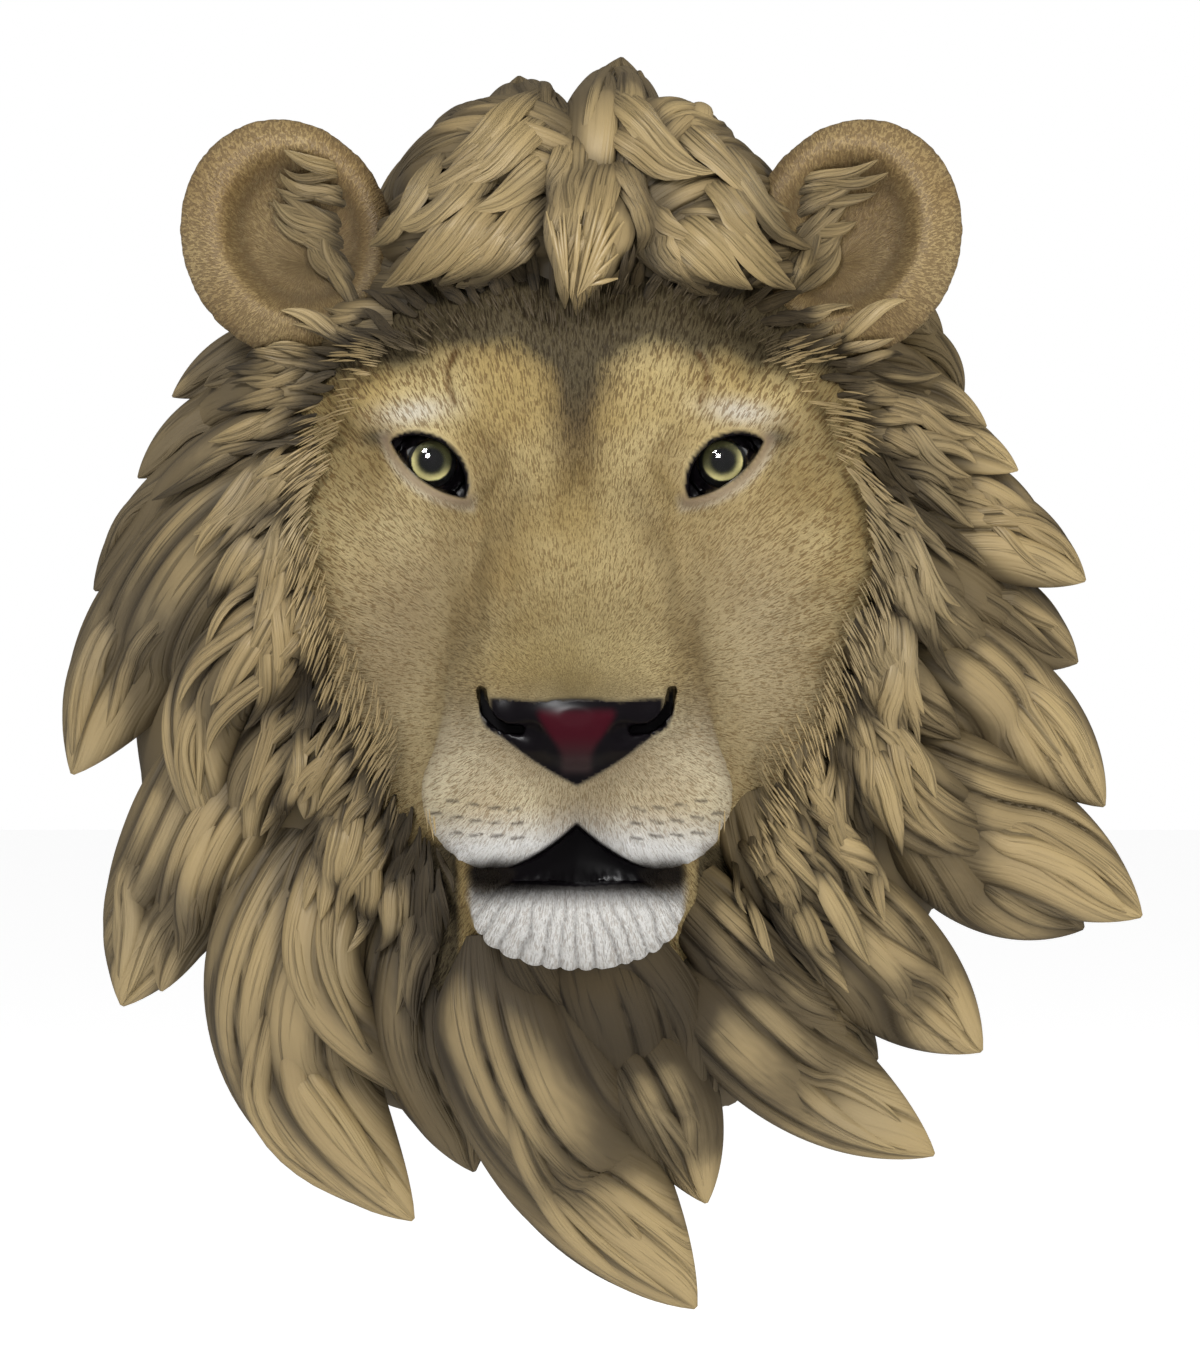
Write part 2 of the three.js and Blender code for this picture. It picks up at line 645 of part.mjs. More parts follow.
const mask = new THREE.Group();
const casting = new THREE.Mesh(geometryOf(castingSolid()), resin);
casting.name = "lion_head_casting";
mask.add(casting);
for (const [side, name] of [
  [-1, "glass_eye_left"],
  [1, "glass_eye_right"],
]) {
  const eye = new THREE.Mesh(geometryOf(solidOf(eyeGeometry(side, EYE_DIAMETER / 2))), glass);
  eye.name = name;
  mask.add(eye);
}

export default mask;
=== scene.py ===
"""Dresses the lion head wall mask: its carved face, ears and mane, its glass eyes and a pale studio.

Sizes are in millimetres of a mask 400 mm tall, and MM turns them into the frame's metres. A place is
written as across, out from the wall and up, and the wall is the plane y = 0, so out is minus y.
"""

import logging
import math
from dataclasses import dataclass, field
from enum import Enum
from functools import partial

import bpy
import numpy as np
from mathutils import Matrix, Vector


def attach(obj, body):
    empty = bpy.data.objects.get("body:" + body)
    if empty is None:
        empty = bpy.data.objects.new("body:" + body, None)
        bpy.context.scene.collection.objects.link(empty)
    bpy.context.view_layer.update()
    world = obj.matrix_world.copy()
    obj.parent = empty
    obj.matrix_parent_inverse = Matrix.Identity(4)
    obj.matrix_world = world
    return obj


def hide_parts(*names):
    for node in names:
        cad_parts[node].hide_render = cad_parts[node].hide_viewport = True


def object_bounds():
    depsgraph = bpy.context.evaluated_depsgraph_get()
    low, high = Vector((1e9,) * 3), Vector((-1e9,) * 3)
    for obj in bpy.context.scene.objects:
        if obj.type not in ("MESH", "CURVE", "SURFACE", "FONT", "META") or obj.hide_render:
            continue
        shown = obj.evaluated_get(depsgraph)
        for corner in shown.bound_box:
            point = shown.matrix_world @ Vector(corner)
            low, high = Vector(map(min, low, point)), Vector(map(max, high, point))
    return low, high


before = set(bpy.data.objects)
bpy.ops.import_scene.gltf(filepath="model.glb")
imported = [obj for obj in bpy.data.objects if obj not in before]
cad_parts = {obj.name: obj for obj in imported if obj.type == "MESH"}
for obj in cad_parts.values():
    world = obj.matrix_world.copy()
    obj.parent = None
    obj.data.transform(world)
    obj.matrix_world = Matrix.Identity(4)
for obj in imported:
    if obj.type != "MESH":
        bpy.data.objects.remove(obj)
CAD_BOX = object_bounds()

log = logging.getLogger("lion_mask")

Place = tuple[float, float, float]
Array = np.ndarray

MM = (CAD_BOX[1].z - CAD_BOX[0].z) / 400.0
CASTING = "lion_head_casting"
# Locks and tufts stop this far in front of the wall, so that only the bed makes the flat back
BACK_CLEARANCE = 0.35


# Signed distances, under zero inside
def join(a: Array, b: Array, blend: float) -> Array:
    """Join two distances with a fillet of about the blend's size."""
    overlap = np.maximum(blend - np.abs(a - b), 0) / blend
    return np.minimum(a, b) - overlap * overlap * blend / 4


def cut(a: Array, b: Array, blend: float) -> Array:
    """Cut b out of a, with a rounded edge."""
    return -join(-a, b, blend)


def ellipsoid(points: Array, centre: Place, radii: Place) -> Array:
    """Give the distance of points from an ellipsoid.

    Args:
        points: Rows of x, y and z.
        centre: The ellipsoid's centre, as across, out and up.
        radii: Its radii in the same order.

    Returns:
        One distance for each point.
    """
    offset = (points - np.array((centre[0], -centre[1], centre[2]))) / np.array(radii)
    length = np.sqrt((offset * offset).sum(-1))
    slope = np.sqrt(((offset / np.array(radii)) ** 2).sum(-1)) + 1e-9
    return length * (length - 1) / slope


def smooth(low: float, high: float, value: Array) -> Array:
    """Rise smoothly from 0 at low to 1 at high, or fall if low is the greater."""
    share = np.clip((value - low) / (high - low), 0, 1)
    return share * share * (3 - 2 * share)


def bump(distance: Array, width: float) -> Array:
    """Give 1 at no distance and fall off like a bell of the width."""
    return np.exp(-((distance / width) ** 2))


def to_path(points: Array, path: list[tuple[float, float]]) -> Array:
    """Give the distance from points to a path drawn on the front, as across and up.

    Args:
        points: Rows of x, y and z.
        path: The path's corners.

    Returns:
        One distance for each point, measured across and up only.
    """
    flat = points[:, [0, 2]]
    nearest = np.full(len(points), 1e9)
    for start, end in zip(path, path[1:]):
        along = np.subtract(end, start)
        share = np.clip((flat - start) @ along / (along @ along), 0, 1)
        gap = flat - start - share[:, None] * along
        nearest = np.minimum(nearest, np.sqrt((gap * gap).sum(-1)))
    return nearest


def lattice(points: Array, seed: int) -> Array:
    """Give smooth random values from -1 to 1, one cell to a unit.

    Args:
        points: Rows of any number of coordinates.
        seed: Which pattern.

    Returns:
        One value for each point.
    """
    base = np.floor(points).astype(np.int64)
    share = points - base
    share = share * share * (3 - 2 * share)
    total = np.zeros(len(points))
    primes = np.array((73856093, 19349663, 83492791))[: points.shape[1]]
    for corner in range(2 ** points.shape[1]):
        step = np.array([(corner >> axis) & 1 for axis in range(points.shape[1])])
        mixed = ((base + step) * primes).sum(-1) ^ (seed * 2654435761)
        mixed = (mixed ^ (mixed >> 13)) * 1274126177 & 0xFFFFFFFF
        value = ((mixed ^ (mixed >> 16)) & 0xFFFF) / 32767.5 - 1
        total += value * np.where(step, share, 1 - share).prod(-1)
    return total


@dataclass
class Shape:
    """A mesh in the making: places in millimetres, faces, and one value a vertex for each attribute."""

    points: Array
    faces: list[tuple[int, ...]]
    facts: dict[str, Array] = field(default_factory=dict)
    edges: list[tuple[int, int]] = field(default_factory=list)

    @staticmethod
    def merged(shapes: list["Shape"]) -> "Shape":
        """Put several shapes into one mesh.

        Args:
            shapes: The shapes, which all have the same facts.

        Returns:
            One shape.
        """
        start, faces = 0, []
        for shape in shapes:
            faces += [tuple(int(n) + start for n in face) for face in shape.faces]
            start += len(shape.points)
        names = shapes[0].facts
        facts = {name: np.concatenate([shape.facts[name] for shape in shapes]) for name in names}
        return Shape(np.concatenate([shape.points for shape in shapes]), faces, facts)

    def fanned(self, drop: Array) -> "Shape":
        """Replace the flat faces that are marked by a fan round their middle, and forget what they used.

        Args:
            drop: True for each face to replace.

        Returns:
            The lighter mesh, still closed.
        """
        faces = np.array(self.faces)
        rings = faces[drop]
        start, end = rings.ravel(), np.roll(rings, -1, axis=1).ravel()
        size = len(self.points)
        rim = ~np.isin(start * size + end, end * size + start)
        start, end = start[rim], end[rim]
        kept = faces[~drop]
        used = np.unique(np.concatenate([kept.ravel(), start]))
        number = np.full(size, -1)
        number[used] = np.arange(len(used))
        middle = self.points[start].mean(0)
        fan = [(int(number[a]), int(number[b]), len(used)) for a, b in zip(start, end)]
        left = [tuple(face) for face in number[kept].tolist()]
        return Shape(np.concatenate([self.points[used], [middle]]), left + fan)

    def object(self, name: str, sharp: float = 50.0) -> bpy.types.Object:
        """Make a Blender object of the shape.

        Args:
            name: The piece's name.
            sharp: The angle in degrees past which an edge is drawn sharp.

        Returns:
            The object, at the origin, with its place in its mesh.
        """
        mesh = bpy.data.meshes.new(name)
        mesh.from_pydata((self.points * MM).tolist(), self.edges, self.faces)
        mesh.shade_smooth()
        mesh.set_sharp_from_angle(angle=math.radians(sharp))
        for fact, values in self.facts.items():
            kind, part = ("FLOAT_VECTOR", "vector") if values.ndim == 2 else ("FLOAT", "value")
            layer = mesh.attributes.new(fact, kind, "POINT")
            layer.data.foreach_set(part, values.astype(np.float32).ravel())
        piece = bpy.data.objects.new(name, mesh)
        bpy.context.scene.collection.objects.link(piece)
        return piece


class SurfaceNet:
    """A closed mesh of a distance field, with one vertex in each cell that the surface crosses."""

    COARSE = 4

    def __init__(self, *axes: Array) -> None:
        """Lay out the grid on the lines of x, y and z."""
        self.axes = [self._whole(axis) for axis in axes]
        self.step = max(float(np.diff(axis).max()) for axis in self.axes)

    def _whole(self, axis: Array) -> Array:
        """Add lines so that the cells group in fours."""
        extra = -(len(axis) - 1) % self.COARSE
        return np.concatenate([axis, axis[-1] + (axis[-1] - axis[-2]) * np.arange(1, extra + 1)])

    def _values(self, distance: "Field") -> Array:
        """Work out the field near the surface, and only its sign elsewhere.

        Args:
            distance: The field.

        Returns:
            One value for each place of the grid.
        """
        few = [axis[:: self.COARSE] for axis in self.axes]
        grid = np.stack(np.meshgrid(*few, indexing="ij"), -1)
        rough = distance(grid.reshape(-1, 3)).reshape(grid.shape[:3])
        near = np.zeros([count - 1 for count in rough.shape], bool)
        reach = self.COARSE * self.step * 1.5
        for corner in range(8):
            shift = [(corner >> n) & 1 for n in range(3)]
            block = tuple(slice(c, size - 1 + c) for c, size in zip(shift, rough.shape))
            near |= np.abs(rough[block]) < reach
        values, wanted = rough, near
        for axis in range(3):
            values = np.repeat(values, self.COARSE, axis=axis)
            wanted = np.repeat(wanted, self.COARSE, axis=axis)
        values = values[tuple(slice(0, len(axis)) for axis in self.axes)].copy()
        wanted = np.pad(wanted, ((0, 1),) * 3)
        for axis in range(3):
            wanted |= np.roll(wanted, 1, axis=axis)
        places = np.stack([axis[index] for axis, index in zip(self.axes, np.nonzero(wanted))], -1)
        values[wanted] = distance(places)
        return values

    def shape(self, distance: "Field", rounds: int = 2) -> Shape:
        """Build the mesh.

        Args:
            distance: The field, which takes rows of x, y and z.
            rounds: How often each vertex is moved onto the surface.

        Returns:
            The mesh as quads that face out.
        """
        values = self._values(distance)
        inside = values < 0
        count = np.zeros([size - 1 for size in inside.shape], np.int8)
        corners = [((n & 1), (n >> 1) & 1, (n >> 2) & 1) for n in range(8)]
        for corner in corners:
            count += inside[tuple(slice(c, size - 1 + c) for c, size in zip(corner, inside.shape))]
        cells = np.nonzero((count > 0) & (count < 8))
        total = np.zeros((len(cells[0]), 3))
        hits = np.zeros(len(cells[0]))
        for first in corners:
            for axis in range(3):
                if first[axis]:
                    continue
                second = tuple(c + (n == axis) for n, c in enumerate(first))
                a = values[tuple(index + c for index, c in zip(cells, first))]
                b = values[tuple(index + c for index, c in zip(cells, second))]
                crossed = (a < 0) != (b < 0)
                share = np.where(crossed, a / np.where(crossed, a - b, 1), 0)
                spot = np.stack([np.full(len(a), float(c)) for c in first], -1)
                spot[:, axis] += share
                total[crossed] += spot[crossed]
                hits += crossed
        origin = np.stack([axis[index] for axis, index in zip(self.axes, cells)], -1)
        size = np.stack([np.diff(axis)[index] for axis, index in zip(self.axes, cells)], -1)
        points = origin + total / hits[:, None] * size
        number = np.full(count.shape, -1, np.int64)
        number[cells] = np.arange(len(points))
        faces = []
        for axis in range(3):
            here = [slice(1, -1)] * 3
            there = [slice(1, -1)] * 3
            here[axis], there[axis] = slice(0, -1), slice(1, None)
            changed = inside[tuple(here)] != inside[tuple(there)]
            spot = list(np.nonzero(changed))
            spot = [index + (n != axis) for n, index in enumerate(spot)]
            u, v = (axis + 1) % 3, (axis + 2) % 3
            ring = []
            for du, dv in ((1, 1), (0, 1), (0, 0), (1, 0)):
                cell = [index.copy() for index in spot]
                cell[u] -= du
                cell[v] -= dv
                ring.append(number[tuple(cell)])
            quads = np.stack(ring, -1)
            outward = inside[tuple(spot)]
            quads[~outward] = quads[~outward][:, ::-1]
            faces.append(quads)
        for _ in range(rounds):
            points = points - onto(distance, points)
        return Shape(points, [tuple(face) for face in np.concatenate(faces).tolist()])


def lines(*stops: tuple[float, float]) -> Array:
    """Give grid lines that run from the first stop on, each stop with the step that leads up to it.

    Args:
        stops: The first place, and then each stop with its step.

    Returns:
        The places, in order.
    """
    axis = [stops[0][0]]
    for until, step in stops[1:]:
        count = max(1, round(abs(until - axis[-1]) / step))
        axis += list(np.linspace(axis[-1], until, count + 1)[1:])
    return np.array(axis)


def gradient(distance: "Field", points: Array, step: float = 0.3) -> Array:
    """Give the field's slope at points.

    Args:
        distance: The field.
        points: Rows of x, y and z.
        step: How far to each side it is read.

    Returns:
        One slope for each point.
    """
    slope = np.zeros_like(points)
    for axis in range(3):
        shift = np.zeros(3)
        shift[axis] = step
        slope[:, axis] = (distance(points + shift) - distance(points - shift)) / (2 * step)
    return slope


def onto(distance: "Field", points: Array) -> Array:
    """Give the move back that puts points on the surface, at most a millimetre.

    Args:
        distance: The field.
        points: Rows of x, y and z.

    Returns:
        One row of x, y and z for each point, to be taken away from it.
    """
    slope = gradient(distance, points)
    steep = (slope * slope).sum(-1)[:, None] + 1e-6
    return np.clip(distance(points)[:, None] * slope / steep, -1, 1)


Field = type(join)


@dataclass(frozen=True)
class Form:
    """One rounded mass of the head. One off the midline is carved on both sides."""

    centre: Place
    radii: Place
    blend: float


@dataclass(frozen=True)
class Crease:
    """A line pressed into the skin on both sides, as across and up."""

    path: tuple[tuple[float, float], ...]
    width: float
    depth: float


@dataclass
class Head:
    """The lion's face: its masses, features and skin."""

    back: float = 34.0
    top: float = 130.0
    bottom: float = -99.0
    half_width: float = 101.0
    eye: Place = (44.6, 94.0, 68.0)
    eye_radius: float = 11.5
    lid: float = 2.6
    nose: Place = (0.0, 144.0, -10.0)
    curl: tuple[tuple[float, float], ...] = (
        (17, -13.5), (21.5, -13), (25, -10.8), (27.3, -7.4), (28.6, -1.8),
    )
    forms: tuple[Form, ...] = (
        Form((0, 30, 64), (95, 72, 92), 1),
        Form((0, 34, -66), (66, 46, 60), 30),
        Form((38, 36, 4), (50, 56, 60), 26),
        Form((62, 66, 44), (26, 27, 26), 24),
        Form((42, 86, 44), (22, 17, 22), 20),
        Form((0, 88, -16), (45, 60, 38), 30),
        Form((21, 80, 94), (20, 25, 30), 14),
        Form((47, 83, 88), (24, 20, 14), 16),
        Form((0, 80, -62), (38, 40, 24), 16),
        Form((24, 122, -33), (23, 29, 23), 8),
        Form((0, 106, -70), (32, 28, 17), 5),
    )
    creases: tuple[Crease, ...] = (
        Crease(((37, 102), (39.8, 97), (39.4, 91), (37.5, 86)), 1.2, 1.5),
        Crease(((30, 60), (28, 50), (31, 34), (29, 20)), 2.2, 0.9),
        Crease(((23, 50), (19, 38), (21, 24)), 2.2, 0.6),
    )

    def folded(self, points: Array) -> Array:
        """Give the points with both sides laid on the right.

        Args:
            points: Rows of x, y and z.

        Returns:
            The same rows with x never under zero.
        """
        folded = points.copy()
        folded[:, 0] = np.abs(folded[:, 0])
        return folded

    def almond(self, points: Array) -> Array:
        """Give the distance across and up from the eye's opening, under zero inside it.

        Args:
            points: Rows of x, y and z.

        Returns:
            One distance for each point.
        """
        across = points[:, 0] - self.eye[0]
        up = points[:, 2] - self.eye[2]
        # In the almond's own axes, a runs from its corner at the nose to that at the temple
        middle, along = (1.0, -2.0), (0.79, 0.61)
        a = (across - middle[0]) * along[0] + (up - middle[1]) * along[1]
        b = -(across - middle[0]) * along[1] + (up - middle[1]) * along[0]
        upper = np.sqrt(a * a + (b + 6.8) ** 2) - 15.7
        lower = np.sqrt(a * a + (b - 26.0) ** 2) - 29.6
        return np.maximum(upper, lower)

    def mouth(self, folded: Array) -> Array:
        """Give the field of the open mouth: a wide wedge between the lips and the chin.

        Args:
            folded: Rows of x, y and z, folded onto the right.

        Returns:
            One distance for each point.
        """
        across, out, up = folded[:, 0], -folded[:, 1], folded[:, 2]
        side = np.clip(across / 33, 0, 1)
        lips = -43 - 15.5 * (1 - (1 - side) ** 2)
        chin = -60.0 + 1.5 * side
        wedge = np.maximum.reduce([up - lips, chin - up, across - 31])
        return np.maximum(wedge, 117 + 0.12 * across - out)

    def masses(self, points: Array) -> Array:
        """Give the field of the head's masses alone.

        Args:
            points: Rows of x, y and z.

        Returns:
            One distance for each point.
        """
        folded = self.folded(points)
        distance = None
        for form in self.forms:
            mass = ellipsoid(folded, form.centre, form.radii)
            distance = mass if distance is None else join(distance, mass, form.blend)
        start, end = np.array((0, -84, 90)), np.array((0, -135, 6))
        offset = folded * np.array((1 / 1.6, 1, 1)) - start
        along = end - start
        share = np.clip(offset @ along / (along @ along), 0, 1)
        gap = offset - share[:, None] * along
        bridge = np.sqrt((gap * gap).sum(-1)) - (18 + 2 * share)
        distance = join(distance, bridge, 26)
        distance = join(distance, ellipsoid(folded, self.nose, (25, 18, 15)), 4)
        return join(distance, ellipsoid(folded, (23, 139, -8), (8, 14, 8)), 5)

    def __call__(self, points: Array) -> Array:
        """Give the field of the whole face, cut off where it grows out of the bed.

        Args:
            points: Rows of x, y and z.

        Returns:
            One distance for each point.
        """
        folded = self.folded(points)
        distance = self.masses(points)
        eye = self.eye
        hollow = (eye[0], eye[1] + 19, eye[2])
        distance = cut(distance, ellipsoid(folded, hollow, (19, 8, 11)), 9)
        lid = self.eye_radius + self.lid
        distance = join(distance, ellipsoid(folded, eye, (lid, lid, lid)), 8)
        out = -folded[:, 1]
        for crease in self.creases:
            near = bump(to_path(folded, list(crease.path)), crease.width)
            distance = distance + crease.depth * near * smooth(60, 80, out)
        # The forehead's groove, the nostrils, the slit beside each, the lip's parting and the mouth
        distance = cut(distance, ellipsoid(folded, (0, 118, 102), (3, 7, 30)), 12)
        distance = cut(distance, ellipsoid(folded, (16.5, 162, -15.0), (7.5, 9, 5.2)), 2.5)
        slit = to_path(folded, list(self.curl))
        distance = cut(distance, np.maximum(slit - 1.5, 141 - out), 1.2)
        distance = cut(distance, ellipsoid(folded, (0, 158, -40), (1.3, 13, 13)), 2)
        distance = cut(distance, self.mouth(folded), 3.5)
        opening = np.maximum(self.almond(folded), eye[1] + 3.5 - out)
        distance = cut(distance, opening, 1.2)
        socket = self.eye_radius + 0.35
        distance = cut(distance, ellipsoid(folded, eye, (socket, socket, socket)), 0.6)
        ends = np.maximum(self.back - out, np.maximum(points[:, 2] - self.top, self.bottom - points[:, 2]))
        return np.maximum(distance, ends)

    def fur(self, points: Array) -> Array:
        """Give places in the fur's own flow, which runs out from the nose.

        Args:
            points: Rows of x, y and z.

        Returns:
            Rows of three, in which a unit is about the size of one hair across and along.
        """
        across, up = points[:, 0], points[:, 2] + 6
        reach = np.sqrt(across**2 + up**2 + 36)
        angle = np.arctan2(up, across)
        return np.stack([120 * np.cos(angle), 120 * np.sin(angle), 24 * np.log(reach)], -1)

    def skin(self, shape: Shape) -> None:
        """Raise the fur, the chin's ribs and the pores, and paint the masks.

        Args:
            shape: The carved face, which is changed in place.
        """
        points = shape.points
        folded = self.folded(points)
        normal = gradient(self, points)
        normal /= np.sqrt((normal * normal).sum(-1))[:, None] + 1e-9
        across, out, up = folded[:, 0], -folded[:, 1], folded[:, 2]
        flow = self.fur(points)
        almond = self.almond(folded)
        nose = self._nose(folded)
        chin = smooth(35, 31, across) * smooth(-56, -58, up) * smooth(92, 98, out) * smooth(-99, -96, up)
        mouth = smooth(2.6, 0.8, self.mouth(folded))
        bare = np.maximum.reduce([nose, smooth(3.5, 1.5, almond), mouth])
        # Fur: fine on the nose, longer and deeper towards the mane
        edge = smooth(48, 86, np.sqrt((across * 0.95) ** 2 + ((up - 22) * 0.82) ** 2))
        fine = lattice(flow * (0.45, 0.45, 0.55), 3)
        locks = lattice(flow * (0.14, 0.14, 0.22), 5)
        lift = (fine * (0.16 + 0.2 * edge) + np.minimum(locks, 0.25) * (0.15 + 1.3 * edge)) * (1 - bare)
        angle = np.arctan2(points[:, 0], 30 - (up + 60))
        ribs = np.abs(np.sin(angle * 30 + 1.3 * lattice(points[:, [0, 2]] * (0.16, 0.09), 9)))
        comb = (np.sqrt(ribs) - 0.75) * (0.5 + 0.9 * smooth(-62, -80, up) - 0.9 * smooth(-88, -96, up))
        lift = lift * (1 - chin) + chin * (comb + 0.12 * fine)
        shape.points = points + normal * lift[:, None]
        shape.points[:, 1] = np.minimum(shape.points[:, 1], -self.back + 1)
        lips = smooth(-32, -55, up + 0.08 * across) * smooth(118, 128, out) * smooth(50, 46, across)
        brow = bump(np.hypot((across - 50) / 11, (up - 83.5 + 0.12 * (across - 50)) / 3.8), 1.0)
        cheek = bump(np.hypot((across - 60 + up * 0.15) / 27, (up - 6) / 52), 1.0)
        pale = 0.20 * smooth(112, 128, out) * smooth(4, -18, up) + 0.14 * cheek
        shadow = (
            0.9 * smooth(-69, -60.5, up) * smooth(-50, -56, up) * smooth(35, 31, across) * smooth(90, 96, out)
        )
        below = smooth(3, -4, up - self.eye[2] - (across - self.eye[0]) * 0.77)
        lids = smooth(1.0, 0.0, almond - 0.9 * (1 - below))
        rim = bump(almond - 3.4, 1.2) * below
        shape.facts = {
            "fur": flow,
            "bare": bare,
            # The black mask also takes the painted shadow on the chin's top, under the mouth
            "black": np.maximum.reduce([nose, lids * smooth(88, 92, out), mouth, shadow]),
            "lid": bump(almond - 1.6, 1.5) * below * smooth(84, 88, out),
            "comb": chin * smooth(0.55, 0.1, ribs) * smooth(-60, -70, up),
            "pink": self._pink(folded) * smooth(146, 150, out),
            "white": np.clip(
                lips * 0.9 + chin * smooth(-57, -66, up) + brow * 0.42 + rim * 0.2 + pale, 0, 1
            ),
            "edge": edge,
            "far": smooth(32, 70, np.hypot(points[:, 0], points[:, 2] + 6)),
        }

    def _nose(self, folded: Array) -> Array:
        """Give the mask of the nose's bare leather.

        Args:
            folded: Rows of x, y and z, folded onto the right.

        Returns:
            A value from 0 to 1 for each point.
        """
        across, out, up = folded[:, 0], -folded[:, 1], folded[:, 2]
        rim = -3.6 - 0.9 * bump(across - 13, 6)
        below = up + 30.5 - 0.5 * across - 0.007 * across**2
        pad = smooth(0.8, -0.8, up - rim) * smooth(-0.8, 0.8, below) * smooth(28, 25, across)
        thick = 3.0 - 2.1 * smooth(-13, -1.5, up)
        slit = smooth(0.5, -0.5, to_path(folded, list(self.curl)) - thick)
        return np.maximum(pad, slit) * smooth(138, 141, out)

    def _pink(self, folded: Array) -> Array:
        """Give the mask of the nose's dark red middle.

        Args:
            folded: Rows of x, y and z, folded onto the right.

        Returns:
            A value from 0 to 1 for each point.
        """
        across, up = folded[:, 0], folded[:, 2]
        half = 4.6 + 7.0 * smooth(-22, -8, up)
        return smooth(1.2, -1.6, across - half) * smooth(-6.0, -9.0, up) * smooth(-30, -25, up)

    def build(self) -> Shape:
        """Carve the face.

        Returns:
            The face as a closed mesh with its masks.
        """
        side = lines((34, 0), (60, 1.05), (78, 1.4), (self.half_width + 3, 1.8))
        across = np.concatenate([-side[::-1], lines((-34, 0), (34, 0.95))[1:-1], side])
        out = lines((-178, 0), (-80, 1.05), (3 - self.back, 1.7))
        up = lines((self.bottom - 3, 0), (-62, 1.15), (2, 0.95), (50, 1.25), (84, 1.0), (self.top + 3, 1.7))
        shape = SurfaceNet(across, out, up).shape(self)
        flat = shape.points[:, 1] > -self.back - 0.2
        shape = shape.fanned(flat[np.array(shape.faces)].all(1))
        self.skin(shape)
        return shape


@dataclass
class Bed:
    """What the mane lies on: a broad dome and the crown, with a flat back and a hanger's recess."""

    dome: Form = Form((-6, -8, -2), (138, 76, 146), 1)
    crown: Form = Form((2, 36, 130), (60, 52, 54), 24)
    floor: float = 9.0
    recess: Place = (18.0, 14.0, 30.0)
    recess_up: float = 95.0

    def masses(self, points: Array) -> Array:
        """Give the field of the two domes."""
        crown = ellipsoid(points, self.crown.centre, self.crown.radii)
        return join(crown, ellipsoid(points, self.dome.centre, self.dome.radii), self.crown.blend)

    def __call__(self, points: Array) -> Array:
        """Give the field of the bed, cut flat at the wall, with the recess let in.

        Args:
            points: Rows of x, y and z.

        Returns:
            One distance for each point.
        """
        half = np.array((self.recess[0] / 2, self.recess[1], self.recess[2] / 2))
        box = (np.abs(points - np.array((0, 0, self.recess_up))) - half).max(-1)
        return np.maximum(np.maximum(self.masses(points), points[:, 1]), -box)

    def build(self) -> Shape:
        """Make the bed's closed mesh, smaller at the front than the locks that cover it.

        Returns:
            Its closed mesh, with the facts that its paint needs.
        """
        across, out, up = lines((-152, 0), (140, 4.5)), lines((-96, 0), (6, 4)), lines((-156, 0), (190, 4.5))
        shape = SurfaceNet(across, out, up).shape(self)
        shape.points[:, 1] = np.minimum(shape.points[:, 1], 0)
        count = len(shape.points)
        shape.facts = {
            "strand": np.full_like(shape.points, 0.5),
            "groove": np.full(count, 0.7),
            "along": np.full(count, 0.1),
            "tone": np.full(count, 0.4),
        }
        return shape


def stand_out(distance: Field, across: Array, up: Array, highest: float = 176.0) -> Array:
    """Find how far a field's front stands out from the wall.

    Args:
        distance: The field.
        across: Where to look, across.
        up: Where to look, up.
        highest: Where the search starts.

    Returns:
        The front's distance from the wall at each place, 0 where there is nothing.
    """
    low = np.zeros(len(across))
    high = np.zeros(len(across))
    step = 3.0
    found = np.zeros(len(across), bool)
    for out in np.arange(highest, 0, -step):
        points = np.stack([across, np.full(len(across), -out), up], -1)
        hit = (distance(points) < 0) & ~found
        low[hit], high[hit] = out, out + step
        found |= hit
    for _ in range(7):
        middle = (low + high) / 2
        within = distance(np.stack([across, -middle, up], -1)) < 0
        low, high = np.where(within, middle, low), np.where(within, high, middle)
    return low


class Layer(Enum):
    """How high a lock lies over the bed, in millimetres."""

    UNDER = 0
    MIDDLE = 7
    TOP = 14


@dataclass
class Lock:
    """One lock of the mane: root and tip as across and up, sideways bow, width and layer."""

    root: tuple[float, float]
    tip: tuple[float, float]
    bow: float
    width: float
    layer: Layer
    number: int


